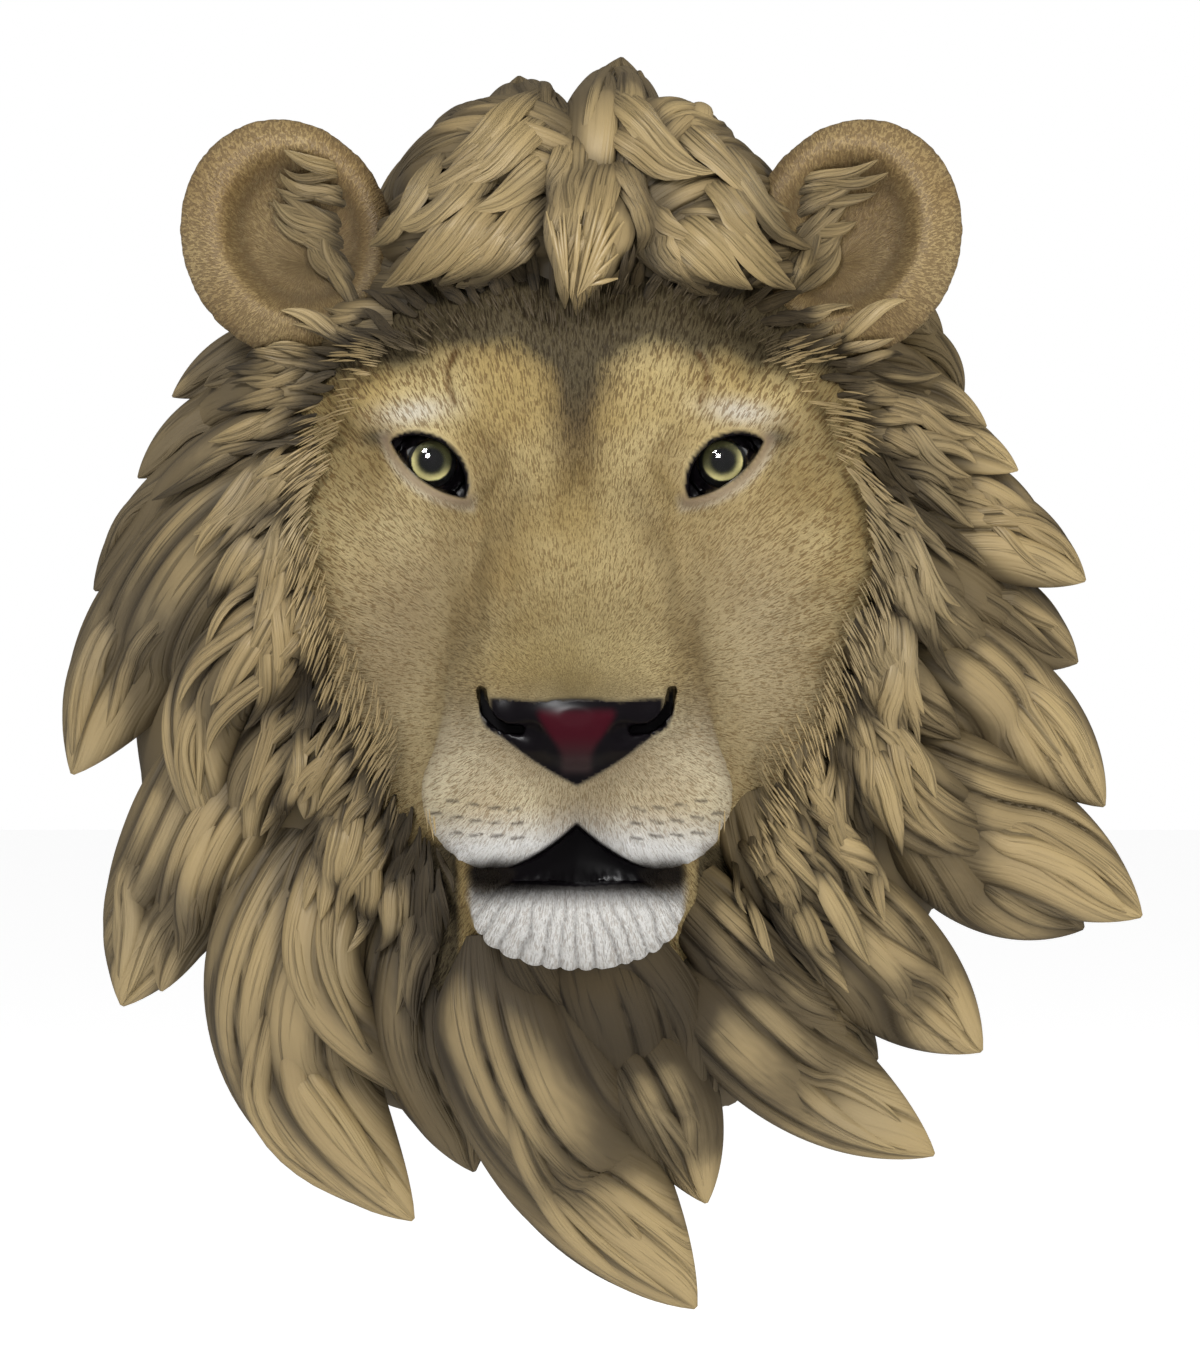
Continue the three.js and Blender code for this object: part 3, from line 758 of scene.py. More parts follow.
# Each lock's root and tip as across and up, its bow, its width and its layer, by the group it grows in
LOCKS = {
    "crown": (
        (8, 148, 14, 201, 0, 32, 0), (-10, 146, -19, 195, 2, 32, 0), (0, 156, -52, 172, -7, 32, 0),
        (18, 158, 46, 170, 5, 34, 0), (14, 146, 70, 146, 13, 30, 0), (6, 150, -66, 150, -16, 32, 1),
        (-8, 140, -74, 133, -9, 28, 1), (10, 160, 34, 183, 3, 20, 1), (18, 140, 70, 138, 9, 24, 1),
        (4, 140, -62, 124, -8, 22, 2), (22, 134, 62, 126, 7, 22, 2), (2, 172, 20, 196, -3, 18, 1),
        (6, 160, -2, 118, 4, 24, 2),
        (-76, 112, -130, 92, -4, 21, 0), (-80, 95, -141, 66, -6, 24, 0), (91, 112, 123, 91, 3, 26, 0),
        (84, 122, 117, 110, 3, 22, 0), (-51, 130, -101, 126, -3, 16, 0), (-49, 122, -98, 109, -4, 19, 1),
        (63, 128, 113, 112, 6, 20, 1), (-57, 112, -119, 95, -4, 21, 2), (50, 132, 81, 122, 4, 20, 2),
        (71, 116, 101, 104, 4, 19, 2), (81, 106, 118, 85, 4, 19, 2),
    ),
    "left": (
        (-86, 78, -155, 30, -5, 34, 0), (-89, 56, -162, -29, -11, 46, 0), (-104, -10, -146, -103, 1, 46, 0),
        (-96, -20, -133, -98, -6, 32, 1), (-81, -2, -104, -55, -8, 20, 1), (-56, -51, -47, -78, -3, 17, 1),
        (-80, 66, -132, 34, -5, 20, 2), (-83, 42, -129, 14, -6, 21, 2), (-78, 25, -117, -50, -20, 28, 2),
        (-70, -16, -85, -42, -3, 15, 2), (-66, -27, -64, -66, -4, 16, 2),
    ),
    "right": (
        (100, -34, 162, -78, -4, 38, 0), (104, 36, 160, 7, 2, 32, 0), (98, -22, 180, -74, 2, 40, 1),
        (102, 14, 168, -39, 7, 36, 1), (100, 62, 162, 33, 3, 31, 1), (94, 72, 150, 49, 2, 27, 1),
        (84, -4, 144, -52, -12, 28, 2), (86, 22, 121, -17, -4, 20, 2), (92, 42, 134, 10, -4, 20, 2),
        (90, 82, 140, 68, 4, 20, 2), (85, 94, 130, 82, 4, 19, 2), (90, 56, 123, 27, -3, 18, 2),
    ),
    "beard": (
        (-50, -66, -33, -156, -6, 38, 0), (-35, -76, -25, -156, -6, 28, 0), (7, -80, 16, -148, 0, 44, 0),
        (50, -78, 96, -120, -3, 30, 0), (-78, -44, -52, -171, -27, 54, 1), (-26, -76, 38, -199, -13, 54, 1),
        (30, -76, 114, -150, -9, 40, 1), (60, -58, 129, -117, 2, 42, 1), (-72, -40, -57, -129, -17, 27, 2),
        (-4, -88, 41, -165, 7, 36, 2), (-19, -76, 37, -137, -4, 23, 2), (12, -74, 41, -140, 6, 21, 2),
        (34, -60, 86, -113, -6, 27, 2), (50, -34, 98, -77, -11, 25, 2), (68, -18, 89, -65, -4, 17, 2),
    ),
}


@dataclass
class Sweep:
    """A lock's course: its middle, its two directions across and its half-width at each station."""

    middle: Array
    sideways: Array
    outward: Array
    half: Array


def eased(values: Array, reach: int) -> Array:
    """Give values averaged over the stations within reach, the nearest counting most."""
    weights = np.hanning(2 * reach + 3)[1:-1]
    return np.convolve(np.pad(values, reach, mode="edge"), weights / weights.sum(), "valid")


def pattern(rng: np.random.Generator) -> int:
    """Draw the number of the pattern that a small lock's ridges get."""
    return int(rng.integers(1, 100000))


def unit(rows: Array) -> Array:
    """Give rows scaled to a length of one."""
    return rows / np.linalg.norm(rows, axis=1)[:, None]


def swept(middle: Array, outward: Array, half: Array) -> Sweep:
    """Give a course its directions across.

    Args:
        middle: The course's middle at each station.
        outward: Roughly which way its face looks there.
        half: Its half-width there.

    Returns:
        The course, its directions square to one another and to the course.
    """
    tangent = unit(np.gradient(middle, axis=0))
    sideways = unit(np.cross(tangent, outward))
    return Sweep(middle, sideways, np.cross(sideways, tangent), half)


@dataclass
class Mane:
    """All the locks, in the groups that they grow in."""

    head: Head
    bed: Bed
    stations: int = 42
    sides: int = 50
    child_stations: int = 22
    child_sides: int = 18
    thickness: float = 0.7
    descent: float = 0.55
    sink: float = 0.3
    easing: float = 0.22
    lean: float = 0.1
    ridge: float = 15.0
    seed: int = 7
    groups: dict[str, tuple[tuple[float, ...], ...]] = field(default_factory=LOCKS.copy)

    def locks(self, group: str) -> list[Lock]:
        """Give a group's locks.

        Args:
            group: The group's name.

        Returns:
            Its locks, as they stand in the table.
        """
        layers = list(Layer)
        return [
            Lock((row[0], row[1]), (row[2], row[3]), row[4], row[5], layers[row[6]], number)
            for number, row in enumerate(self.groups[group])
        ]

    def masses(self, points: Array) -> Array:
        """Give the field of the head and the bed together."""
        return np.minimum(self.head.masses(points), self.bed.masses(points))

    def spread(self, share: Array) -> Array:
        """Give how wide a lock is along its length, as a share of its full width."""
        return (0.8 + 0.8 * share) * np.maximum(1 - share**2.6, 0) ** 0.9

    def sweep(self, lock: Lock) -> Sweep:
        """Lay a lock's course from its root down onto the bed.

        Args:
            lock: The lock.

        Returns:
            Its course.
        """
        share = np.linspace(0, 0.995, self.stations)
        root, tip = np.array(lock.root), np.array(lock.tip)
        along = (tip - root) / np.linalg.norm(tip - root)
        left = np.array((-along[1], along[0]))
        flat = root + (tip - root) * share[:, None] + left * (lock.bow * np.sin(np.pi * share))[:, None]
        start = stand_out(self.masses, root[:1], root[1:])[0] - lock.width * self.sink
        # Roots under the chin start deeper
        start -= 22 * float(bump(math.hypot(root[0] / 62, (root[1] + 80) / 22), 1.0))
        # A root that starts beside the bed keeps its thickness clear of the wall
        start = max(start, 0.35 * lock.width)
        bed = np.maximum(stand_out(self.bed.masses, flat[:, 0], flat[:, 1]), self.bed.floor)
        bed = eased(bed, int(self.easing * self.stations))
        out = start + (bed + lock.layer.value - start) * smooth(0, self.descent, share)
        centre = np.stack([flat[:, 0], -out, flat[:, 1]], -1)
        outward = np.stack([centre[:, 0] / 260, -np.ones(len(share)), (centre[:, 2] - 20) / 300], -1)
        # The broad lock that starts beside the chin has a narrow root, so that the chin hides it
        pinch = float(bump(math.hypot(root[0] + 26, root[1] + 76) / 8, 1.0))
        half = lock.width / 2 * self.spread(share) * smooth(-0.35 + 0.2 * pinch, 0.12 + 0.08 * pinch, share)
        course = swept(centre, outward, half)
        lie = np.sign(lock.bow) * self.lean * smooth(0, 1, share) * half
        course.middle = centre + course.sideways * lie[:, None]
        return course

    def body(self, sweep: Sweep, ridges: float, seed: int, sides: int, thickness: float) -> Shape:
        """Skin a course with a lock that has rounded ridges along it, with narrow valleys between them.

        Args:
            sweep: The course.
            ridges: How many ridges lie side by side.
            seed: Which pattern of ridges.
            sides: How many faces go round.
            thickness: Its thickness as a share of its width.

        Returns:
            A closed mesh with the facts that its paint needs.
        """
        rng = np.random.default_rng(seed)
        count = len(sweep.half)
        share = np.linspace(0, 1, count)[:, None]
        top = int(sides * 0.76)
        rear = np.pi + np.linspace(0, np.pi, sides - top + 2)[1:-1]
        turn = np.concatenate([np.linspace(0, np.pi, top), rear])
        face = np.arange(sides) < top
        v = np.where(face, 0.45 * np.cos(turn) + 0.55 * (1 - 2 * turn / np.pi), np.cos(turn))[None, :]
        arch = np.maximum(1 - np.abs(v) ** 2.3, 0) ** 0.55
        height = np.where(face, arch, -0.5 * arch) * thickness
        # The ridges swing from one edge towards the other on the way to the tip, and no two are alike
        swing = rng.uniform(0.2, 0.55) * rng.choice((-1, 1))
        sway = rng.uniform(0.04, 0.10) * np.sin(2 * np.pi * (share * rng.uniform(0.7, 1.2) + rng.uniform()))
        narrow = 0.3 + 0.7 * (sweep.half / sweep.half.max())[:, None]
        flow = (v * 0.5 * narrow + 0.5 + swing * (share - 0.4) + sway) * ridges + rng.uniform()
        flow = flow + 0.24 * np.sin(2 * np.pi * (flow * 0.37 + rng.uniform()))
        part = flow - np.floor(flow)
        number = np.floor(flow).ravel()
        spot = np.stack([number * 5.3 + 0.5, np.repeat(share.ravel() * 1.7, sides)], -1)
        level = 0.72 + 0.4 * lattice(spot, seed).reshape(flow.shape)
        rounded = 1 - np.abs(2 * part**1.3 - 1) ** 2.8
        show = smooth(0.0, 0.15, share) * smooth(1.0, 0.96, share) * np.minimum(arch * 1.5, 1) * face
        height = height + show * min(0.56 / ridges, 0.27) * (rounded * level - 0.6)
        half = sweep.half[:, None]
        points = (
            sweep.middle[:, None]
            + sweep.sideways[:, None] * (half * v)[..., None]
            + sweep.outward[:, None] * (half * height)[..., None]
        )
        ends = np.stack([sweep.middle[0], sweep.middle[-1]])
        flat = np.concatenate([points.reshape(-1, 3), ends])
        # Where locks meet the wall, each has a plane of its own
        flat[:, 1] = np.minimum(flat[:, 1], -BACK_CLEARANCE - 0.06 * (seed % 17))
        ring = np.arange(sides)
        after = np.roll(ring, -1)
        faces = []
        for station in range(count - 1):
            a, b = ring + station * sides, after + station * sides
            faces += np.stack([a, a + sides, b + sides, b], -1).tolist()
        last = (count - 1) * sides
        first_end, last_end = count * sides, count * sides + 1
        faces += [(first_end, int(n), int(m)) for n, m in zip(ring, after)]
        faces += [(last_end, int(last + m), int(last + n)) for n, m in zip(ring, after)]
        length = np.linalg.norm(np.diff(sweep.middle, axis=0), axis=1).sum()
        groove = show * smooth(0.62, 1.0, np.abs(2 * part - 1))
        strand = np.stack([flow, share * length * 0.1 * np.ones_like(v), np.full_like(flow, seed * 3.7)], -1)

        def with_ends(values: Array) -> Array:
            """Give the values for the ring's points and then for the two ends."""
            return np.concatenate([values.reshape(-1, *values.shape[2:]), values[[0, -1], 0]])

        facts = {
            "strand": with_ends(strand),
            "groove": with_ends(groove),
            "along": with_ends(share * np.ones_like(v)),
            "tone": np.full(len(flat), rng.uniform()),
        }
        return Shape(flat, [tuple(face) for face in faces], facts)

    def child(self, parent: Sweep, rng: np.random.Generator, thickness: float, side: int) -> Sweep:
        """Lay a smaller lock along the top of another one, on one of its sides.

        Args:
            parent: The larger lock's course.
            rng: Where its place, bow and width are drawn from.
            thickness: The larger lock's thickness as a share of its width.
            side: -1 or 1, for the side that it lies on.

        Returns:
            The smaller lock's course.
        """
        start, end = rng.uniform(0.0, 0.4), rng.uniform(0.84, 0.99)
        lanes = side * rng.uniform(-0.2, 0.55), side * rng.uniform(0.1, 0.62)
        width = rng.uniform(0.24, 0.42)
        share = np.linspace(0, 0.995, self.child_stations)
        spot = (start + (end - start) * share) * (len(parent.half) - 1)
        whole = np.arange(len(parent.half))

        def pick(rows: Array) -> Array:
            """Give the parent's rows at the child's stations."""
            return np.stack([np.interp(spot, whole, rows[:, n]) for n in range(3)], -1)

        half = np.interp(spot, whole, parent.half)
        lane = lanes[0] + (lanes[1] - lanes[0]) * smooth(0, 1, share)
        lane = lane + rng.uniform(-0.16, 0.16) * np.sin(2 * np.pi * share)
        rise = np.maximum(1 - np.abs(lane) ** 2.3, 0) ** 0.55 - 0.12 - 0.4 * smooth(0.45, 0, share)
        middle = (
            pick(parent.middle)
            + pick(parent.sideways) * (half * lane)[:, None]
            + pick(parent.outward) * (half * thickness * rise)[:, None]
        )
        outward = pick(parent.outward) + pick(parent.sideways) * (lane * 0.7)[:, None]
        leaf = (1 - (1 - share) ** 2.2) * np.maximum(1 - share**2.0, 0) ** 0.8
        return swept(middle, outward, parent.half.max() * width * leaf)

    def build(self, group: str) -> Shape:
        """Carve a group of locks.

        Args:
            group: The group's name.

        Returns:
            The group as one mesh of closed locks.
        """
        shapes = []
        first = list(self.groups).index(group) * 1000
        for lock in self.locks(group):
            seed = self.seed + first + lock.number * 17
            rng = np.random.default_rng(seed)
            sweep = self.sweep(lock)
            ridges = max(1.7, lock.width * 1.2 / self.ridge)
            shapes.append(self.body(sweep, ridges, seed, self.sides, self.thickness))
            for n in range(1 if lock.width < 24 else 3):
                child = self.child(sweep, rng, self.thickness, (-1, 1, 1, -1)[(n + seed) % 4])
                shapes.append(self.body(child, 1.3, seed + n + 1, self.child_sides, 0.7))
        return Shape.merged(shapes)


@dataclass
class Ears:
    """Both ears: a round dish with a thick furred rim."""

    centre: Place = (89.0, 50.0, 140.0)
    shift: float = -2.0
    radii: Place = (33.0, 19.0, 38.0)
    hollow: Place = (22.0, 17.0, 26.0)
    hollow_out: float = 14.0
    hollow_in: float = 4.0
    tilt: float = 20.0

    def local(self, points: Array, side: int) -> Array:
        """Give places as seen from an ear's centre, its tilt taken out and the left laid on the right.

        Args:
            points: Rows of x, y and z.
            side: -1 for the left ear and 1 for the right.

        Returns:
            Rows of x, y and z.
        """
        moved = points - np.array((side * self.centre[0] + self.shift, 0, self.centre[2]))
        turn = math.radians(self.tilt) * side
        across = moved[:, 0] * math.cos(turn) - moved[:, 2] * math.sin(turn)
        up = moved[:, 0] * math.sin(turn) + moved[:, 2] * math.cos(turn)
        return np.stack([across * side, moved[:, 1], up], -1)

    def __call__(self, points: Array, side: int = 1) -> Array:
        """Give one ear's field.

        Args:
            points: Rows of x, y and z.
            side: -1 for the left ear and 1 for the right.

        Returns:
            One distance for each point.
        """
        local = self.local(points, side)
        dish = ellipsoid(local, (0, self.centre[1], 0), self.radii)
        hollow = (-self.hollow_in, self.centre[1] + self.hollow_out, 0)
        return cut(dish, ellipsoid(local, hollow, self.hollow), 7)

    def build(self) -> Shape:
        """Carve both ears, with the rim's short fur.

        Returns:
            Its closed mesh, with the facts that its paint needs.
        """
        shapes = []
        for side in (-1, 1):
            middle = side * self.centre[0] + self.shift
            one = partial(self, side=side)
            across, up = (lines((place - 42, 0), (place + 42, 1.1)) for place in (middle, self.centre[2]))
            shape = SurfaceNet(across, lines((-76, 0), (-24, 1.1)), up).shape(one)
            normal = gradient(one, shape.points)
            normal /= np.sqrt((normal * normal).sum(-1))[:, None] + 1e-9
            local = self.local(shape.points, side)
            angle = np.arctan2(local[:, 2] + 10, local[:, 0] + self.hollow_in)
            reach = np.hypot(local[:, 0] + self.hollow_in, local[:, 2])
            flow = np.stack([34 * np.cos(angle), 34 * np.sin(angle), reach * 0.42], -1)
            fine = lattice(flow * 0.9, 21)
            shape.points = shape.points + normal * (fine * 0.28)[:, None]
            inner = smooth(0.96, 0.66, np.hypot((local[:, 0] + self.hollow_in) / 22, local[:, 2] / 26))
            inner = inner * smooth(1, -4, shape.points[:, 1] + self.centre[1] + 2)
            shape.facts = {"fur": flow, "inner": inner}
            shapes.append(shape)
        return Shape.merged(shapes)


class StrandTree:
    """A Geometry Nodes tree that skins drawn paths with tapered strands."""

    def __init__(self, material: bpy.types.Material) -> None:
        """Build the tree, with the strand's sides and girth as its inputs.

        Args:
            material: The paint that the strands get.
        """
        self.material = material
        self.group = bpy.data.node_groups.new("strands_along_paths", "GeometryNodeTree")
        face = self.group.interface
        face.new_socket("Paths", in_out="INPUT", socket_type="NodeSocketGeometry")
        self.sides = face.new_socket("Sides", in_out="INPUT", socket_type="NodeSocketInt")
        self.girth = face.new_socket("Girth", in_out="INPUT", socket_type="NodeSocketFloat")
        face.new_socket("Strands", in_out="OUTPUT", socket_type="NodeSocketGeometry")
        start = self._add("NodeGroupInput", {}, {})
        curves = self._add("GeometryNodeMeshToCurve", {}, {"Mesh": start.outputs[0]})
        place = self._add("GeometryNodeSplineParameter", {}, {})
        named = {"Geometry": curves.outputs[0], "Name": "along", "Value": place.outputs["Factor"]}
        kind = {"data_type": "FLOAT", "domain": "POINT"}
        stored = self._add("GeometryNodeStoreNamedAttribute", kind, named)
        ring = {"Resolution": start.outputs[1], "Radius": start.outputs[2]}
        ring = self._add("GeometryNodeCurvePrimitiveCircle", {"mode": "RADIUS"}, ring)
        taper = self._add("GeometryNodeInputNamedAttribute", {"data_type": "FLOAT"}, {"Name": "taper"})
        parts = {"Curve": stored.outputs[0], "Profile Curve": ring.outputs[0]}
        parts |= {"Scale": taper.outputs[0], "Fill Caps": True}
        skin = self._add("GeometryNodeCurveToMesh", {}, parts)
        smoothed = self._add("GeometryNodeSetShadeSmooth", {}, {"Geometry": skin.outputs[0]})
        real = self._add("GeometryNodeRealizeInstances", {}, {"Geometry": smoothed.outputs[0]})
        coat = {"Geometry": real.outputs[0], "Material": material}
        painted = self._add("GeometryNodeSetMaterial", {}, coat)
        self._add("NodeGroupOutput", {}, {0: painted.outputs[0]})

    def _add(self, kind: str, settings: dict, inputs: dict) -> bpy.types.Node:
        """Add a node with its settings, values and links.

        Args:
            kind: The node's type.
            settings: Its properties.
            inputs: Its values and links.

        Returns:
            The node.
        """
        node = self.group.nodes.new(kind)
        for name, value in settings.items():
            setattr(node, name, value)
        for key, value in inputs.items():
            if isinstance(value, bpy.types.NodeSocket):
                self.group.links.new(value, node.inputs[key])
            else:
                node.inputs[key].default_value = value
        return node

    def skin(self, name: str, paths: Shape, sides: int, girth: float) -> bpy.types.Object:
        """Turn paths into strands.

        Args:
            name: The piece's name.
            paths: Lines, each point with its taper, tone and other facts.
            sides: How many faces go round a strand.
            girth: The radius of a strand whose taper is 1, in millimetres.

        Returns:
            The strands as one plain mesh.
        """
        source = paths.object(name + "_paths")
        modifier = source.modifiers.new("strands", "NODES")
        modifier.node_group = self.group
        modifier[self.sides.identifier] = sides
        modifier[self.girth.identifier] = girth * MM
        mesh = bpy.data.meshes.new_from_object(source.evaluated_get(bpy.context.evaluated_depsgraph_get()))
        mesh.name = name
        bpy.data.objects.remove(source)
        piece = bpy.data.objects.new(name, mesh)
        bpy.context.scene.collection.objects.link(piece)
        return piece


@dataclass(frozen=True)
class Row:
    """A row of strands: how far out it starts, its spacing, length and girth, and how pale it is."""

    offset: float
    gap: float
    length: float
    girth: float
    tone: float


@dataclass(frozen=True)
class Tier:
    """A row of small locks round the face: how far out it starts, its spacing, length and width."""

    offset: float
    gap: float
    length: float
    width: float


@dataclass
class Ruff:
    """The fur where the face runs out into the mane, the waves of the crown and the tufts in the ears."""

    relief: "Relief"
    ears: Ears
    mane: Mane
    seed: int = 11
    steps: int = 8
    stations: int = 14
    sides: int = 14
    centre: tuple[float, float] = (0.0, 72.0)
    fall: float = 0.85
    rows: tuple[Row, ...] = (
        Row(-17, 1.5, 6, 0.34, 0.6),
        Row(-13, 1.5, 7, 0.38, 0.5),
        Row(-9, 1.6, 8, 0.44, 0.4),
        Row(-5, 2.0, 8, 0.52, 0.3),
    )
    tiers: tuple[Tier, ...] = (
        Tier(10, 9.0, 42, 11.5),
        Tier(4, 7.0, 32, 9.0),
        Tier(-1, 5.5, 24, 7.0),
        Tier(-6, 4.2, 18, 5.2),
    )
    border: tuple[tuple[float, float], ...] = (
        (-41, -60), (-51, -47), (-67, -24), (-80, 2), (-88, 27), (-89, 53), (-86, 79), (-80, 98), (-57, 118),
        (-31, 129), (-6, 125), (13, 130), (33, 132), (58, 124), (81, 101), (90, 82), (96, 53), (97, 27),
        (89, 2), (79, -18), (62, -43), (49, -58),
    )

    def lay(self, start: Array, way: Array, length: float, width: float, bend: float) -> Sweep:
        """Lay the course of a small lock over what is carved already.

        Args:
            start: Where its root is, across and up.
            way: Which way it sets out, as a unit direction across and up.
            length: Its length.
            width: Its greatest width.
            bend: How far it turns on its way, in radians, first one way and then half back.

        Returns:
            The course, its root sunk in.
        """
        share = np.linspace(0, 0.99, self.stations)
        turn = math.atan2(way[1], way[0]) + bend * np.sin(share * 4.2)
        steps = np.stack([np.cos(turn), np.sin(turn)], -1) * length / (self.stations - 1)
        spots = start + np.concatenate([[(0.0, 0.0)], np.cumsum(steps[:-1], axis=0)])
        front = eased(self.relief.front(spots), 2)
        out = front + width * (0.10 * smooth(0.25, 0.6, share) - 0.62 * smooth(0.36, 0.0, share))
        middle = np.stack([spots[:, 0], -out, spots[:, 1]], -1)
        slope = [self.rise(spots, step) for step in ((3, 0), (0, 3))]
        outward = np.stack([-slope[0] / 6, -np.ones(self.stations), -slope[1] / 6], -1)
        leaf = (1 - 0.75 * (1 - share) ** 2.5) * np.maximum(1 - share**1.9, 0) ** 0.85
        return swept(middle, unit(outward), width / 2 * leaf)

    def rise(self, spots: Array, step: tuple[float, float]) -> Array:
        """Give how much further out the mask stands a step on from places than a step before them."""
        return self.relief.front(spots + step) - self.relief.front(spots - step)

    def held(self, sweep: Sweep) -> bool:
        """Say whether a small lock lies on the mask all its way, and not over its edge.

        Args:
            sweep: The lock's course.

        Returns:
            Whether it can stay.
        """
        spots = np.stack([sweep.middle[:, 0], sweep.middle[:, 2]], -1)
        front = self.relief.front(spots)
        return bool(front.min() > 16 and np.abs(np.diff(front)).max() < 9)

    def round_face(self) -> Shape:
        """Carve the tiers of small locks round the face, the outermost first.

        Returns:
            The locks as one mesh.
        """
        rng = np.random.default_rng(self.seed + 5)
        border = np.array(self.border, float)
        ruler = np.concatenate([[0], np.cumsum(np.linalg.norm(np.diff(border, axis=0), axis=1))])
        shapes = []
        for tier in self.tiers:
            at = np.arange(tier.gap / 2, ruler[-1], tier.gap)
            at = at + rng.uniform(-0.35, 0.35, len(at)) * tier.gap
            spots = np.stack([np.interp(at, ruler, border[:, n]) for n in (0, 1)], -1)
            spots = spots + self.aim(spots) * (tier.offset + rng.uniform(-3, 3, len(at)))[:, None]
            ways = self.aim(spots)
            for spot, way in zip(spots, ways):
                if spot[1] > 116 - 0.12 * abs(spot[0]):
                    continue
                seed = pattern(rng)
                length, width = tier.length * rng.uniform(0.75, 1.3), tier.width * rng.uniform(0.75, 1.3)
                sweep = self.lay(spot, way, length, width, rng.uniform(-0.45, 0.45))
                if self.held(sweep):
                    shapes.append(self.mane.body(sweep, 2.4, seed, self.sides, 0.62))
        for n in range(34):
            across = -64 + 130 * (n + rng.uniform(0, 1)) / 34
            start = np.array((across, 121 - 0.0016 * across**2 + rng.uniform(-4, 2)))
            way = np.array((math.sin(across * 0.022), math.cos(across * 0.022)))
            sweep = self.lay(start, way, rng.uniform(14, 22), rng.uniform(4.5, 7.5), rng.uniform(-0.4, 0.4))
            if self.held(sweep):
                shapes.append(self.mane.body(sweep, 2.2, pattern(rng), self.sides, 0.5))
        return Shape.merged(shapes)

    def over_crown(self) -> Shape:
        """Carve the waves that sweep out and down from the crown's parting, and the forelock.

        Returns:
            The locks as one mesh.
        """
        rng = np.random.default_rng(self.seed + 6)
        shapes = []
        for row in range(5):
            for side in (-1, 1):
                for n in range(3):
                    away = (n + rng.uniform(0.1, 0.9)) / 3
                    high = 190 - 12 * row - 10 * away**2 + rng.uniform(-4, 4)
                    start = np.array((2 + side * 44 * away, high))
                    turn = math.radians(24 + 12 * away + rng.uniform(-8, 8))
                    way = np.array((side * math.cos(turn), -math.sin(turn)))
                    length, width = rng.uniform(36, 60), rng.uniform(15, 24)
                    length = min(length, max(start[1] - 119, 8) / math.sin(turn + 0.25))
                    sweep = self.lay(start, way, length, width, -side * rng.uniform(0.25, 0.6))
                    if length > 1.4 * width and self.held(sweep):
                        seed = pattern(rng)
                        shapes.append(self.mane.body(sweep, width / 3.4, seed, 34, 0.34))
        for n in range(15):
            share = n / 14
            start = np.array((3 + rng.uniform(-1, 1) * 15 * (1 - 0.3 * share), 176 - 40 * share))
            goal = np.array((-1 + (start[0] - 3) * 0.2, 112 + 0.5 * abs(start[0] - 3)))
            away = goal - start
            reach = float(np.linalg.norm(away))
            length, width = min(reach, rng.uniform(28, 42)), rng.uniform(10, 17)
            sweep = self.lay(start, away / reach, length, width, rng.uniform(-0.25, 0.25))
            shapes.append(self.mane.body(sweep, 4.0, pattern(rng), 28, 0.5))
        return Shape.merged(shapes)

    def aim(self, spots: Array) -> Array:
        """Give the way that the fur lies at places on the front: out from the brow, and down.

        Args:
            spots: Rows of across and up.

        Returns:
            One unit direction for each place.
        """
        way = spots - np.array(self.centre)
        way /= np.linalg.norm(way, axis=1)[:, None]
        way[:, 1] -= self.fall * smooth(112, 50, spots[:, 1])
        swirl = 0.42 * lattice(spots * 0.05, 31) + 0.12 * lattice(spots * 0.17, 32)
        way = np.stack([way[:, 0] - swirl * way[:, 1], way[:, 1] + swirl * way[:, 0]], -1)
        return way / np.linalg.norm(way, axis=1)[:, None]

    def grow(
        self, starts: Array, lengths: Array, girths: Array, tones: Array, aims: Array | None = None
    ) -> Shape:
        """Draw paths over the relief.

        Args:
            starts: Where each path starts, across and up.
            lengths: How long each is.
            girths: How thick each is, as a share of the tree's girth.
            tones: How pale each is.
            aims: Which way each runs, or the fur's own way.

        Returns:
            The paths as lines.
        """
        spots, way = starts.copy(), aims
        places, tapers, steep = [], [], np.zeros(len(starts))
        for step in range(self.steps):
            share = step / (self.steps - 1)
            out = self.relief.front(spots) + girths * (0.9 * smooth(0, 0.35, share) - 0.75)
            steep = np.maximum(steep, np.abs(self.rise(spots, (3, 0))))
            places.append(np.stack([spots[:, 0], -out, spots[:, 1]], -1))
            tapers.append(girths * (0.35 + 0.65 * smooth(0, 0.4, share)) * max(1 - share**2.2, 0.03))
            if aims is None:
                flow = self.aim(spots)
                way = flow if way is None else way * 0.7 + flow * 0.3
            spots = spots + way * (lengths / (self.steps - 1))[:, None]
        # A path that drops over an edge of what it lies on would hang in the air
        rows, thick = np.stack(places, 1), np.stack(tapers, 1)
        held = (np.abs(np.diff(rows[:, :, 1], axis=1)).max(1) < 3.5) & (steep < 16)
        rows, thick, tones = rows[held], thick[held], tones[held]
        count = len(rows)
        points = rows.reshape(-1, 3)
        points[:, 1] = np.minimum(points[:, 1], -BACK_CLEARANCE - 1)
        first = np.arange(count)[:, None] * self.steps + np.arange(self.steps - 1)
        facts = {"taper": thick.ravel(), "tone": np.repeat(tones, self.steps)}
        shape = Shape(points, [], facts)
        shape.edges = np.stack([first.ravel(), first.ravel() + 1], -1).tolist()
        return shape

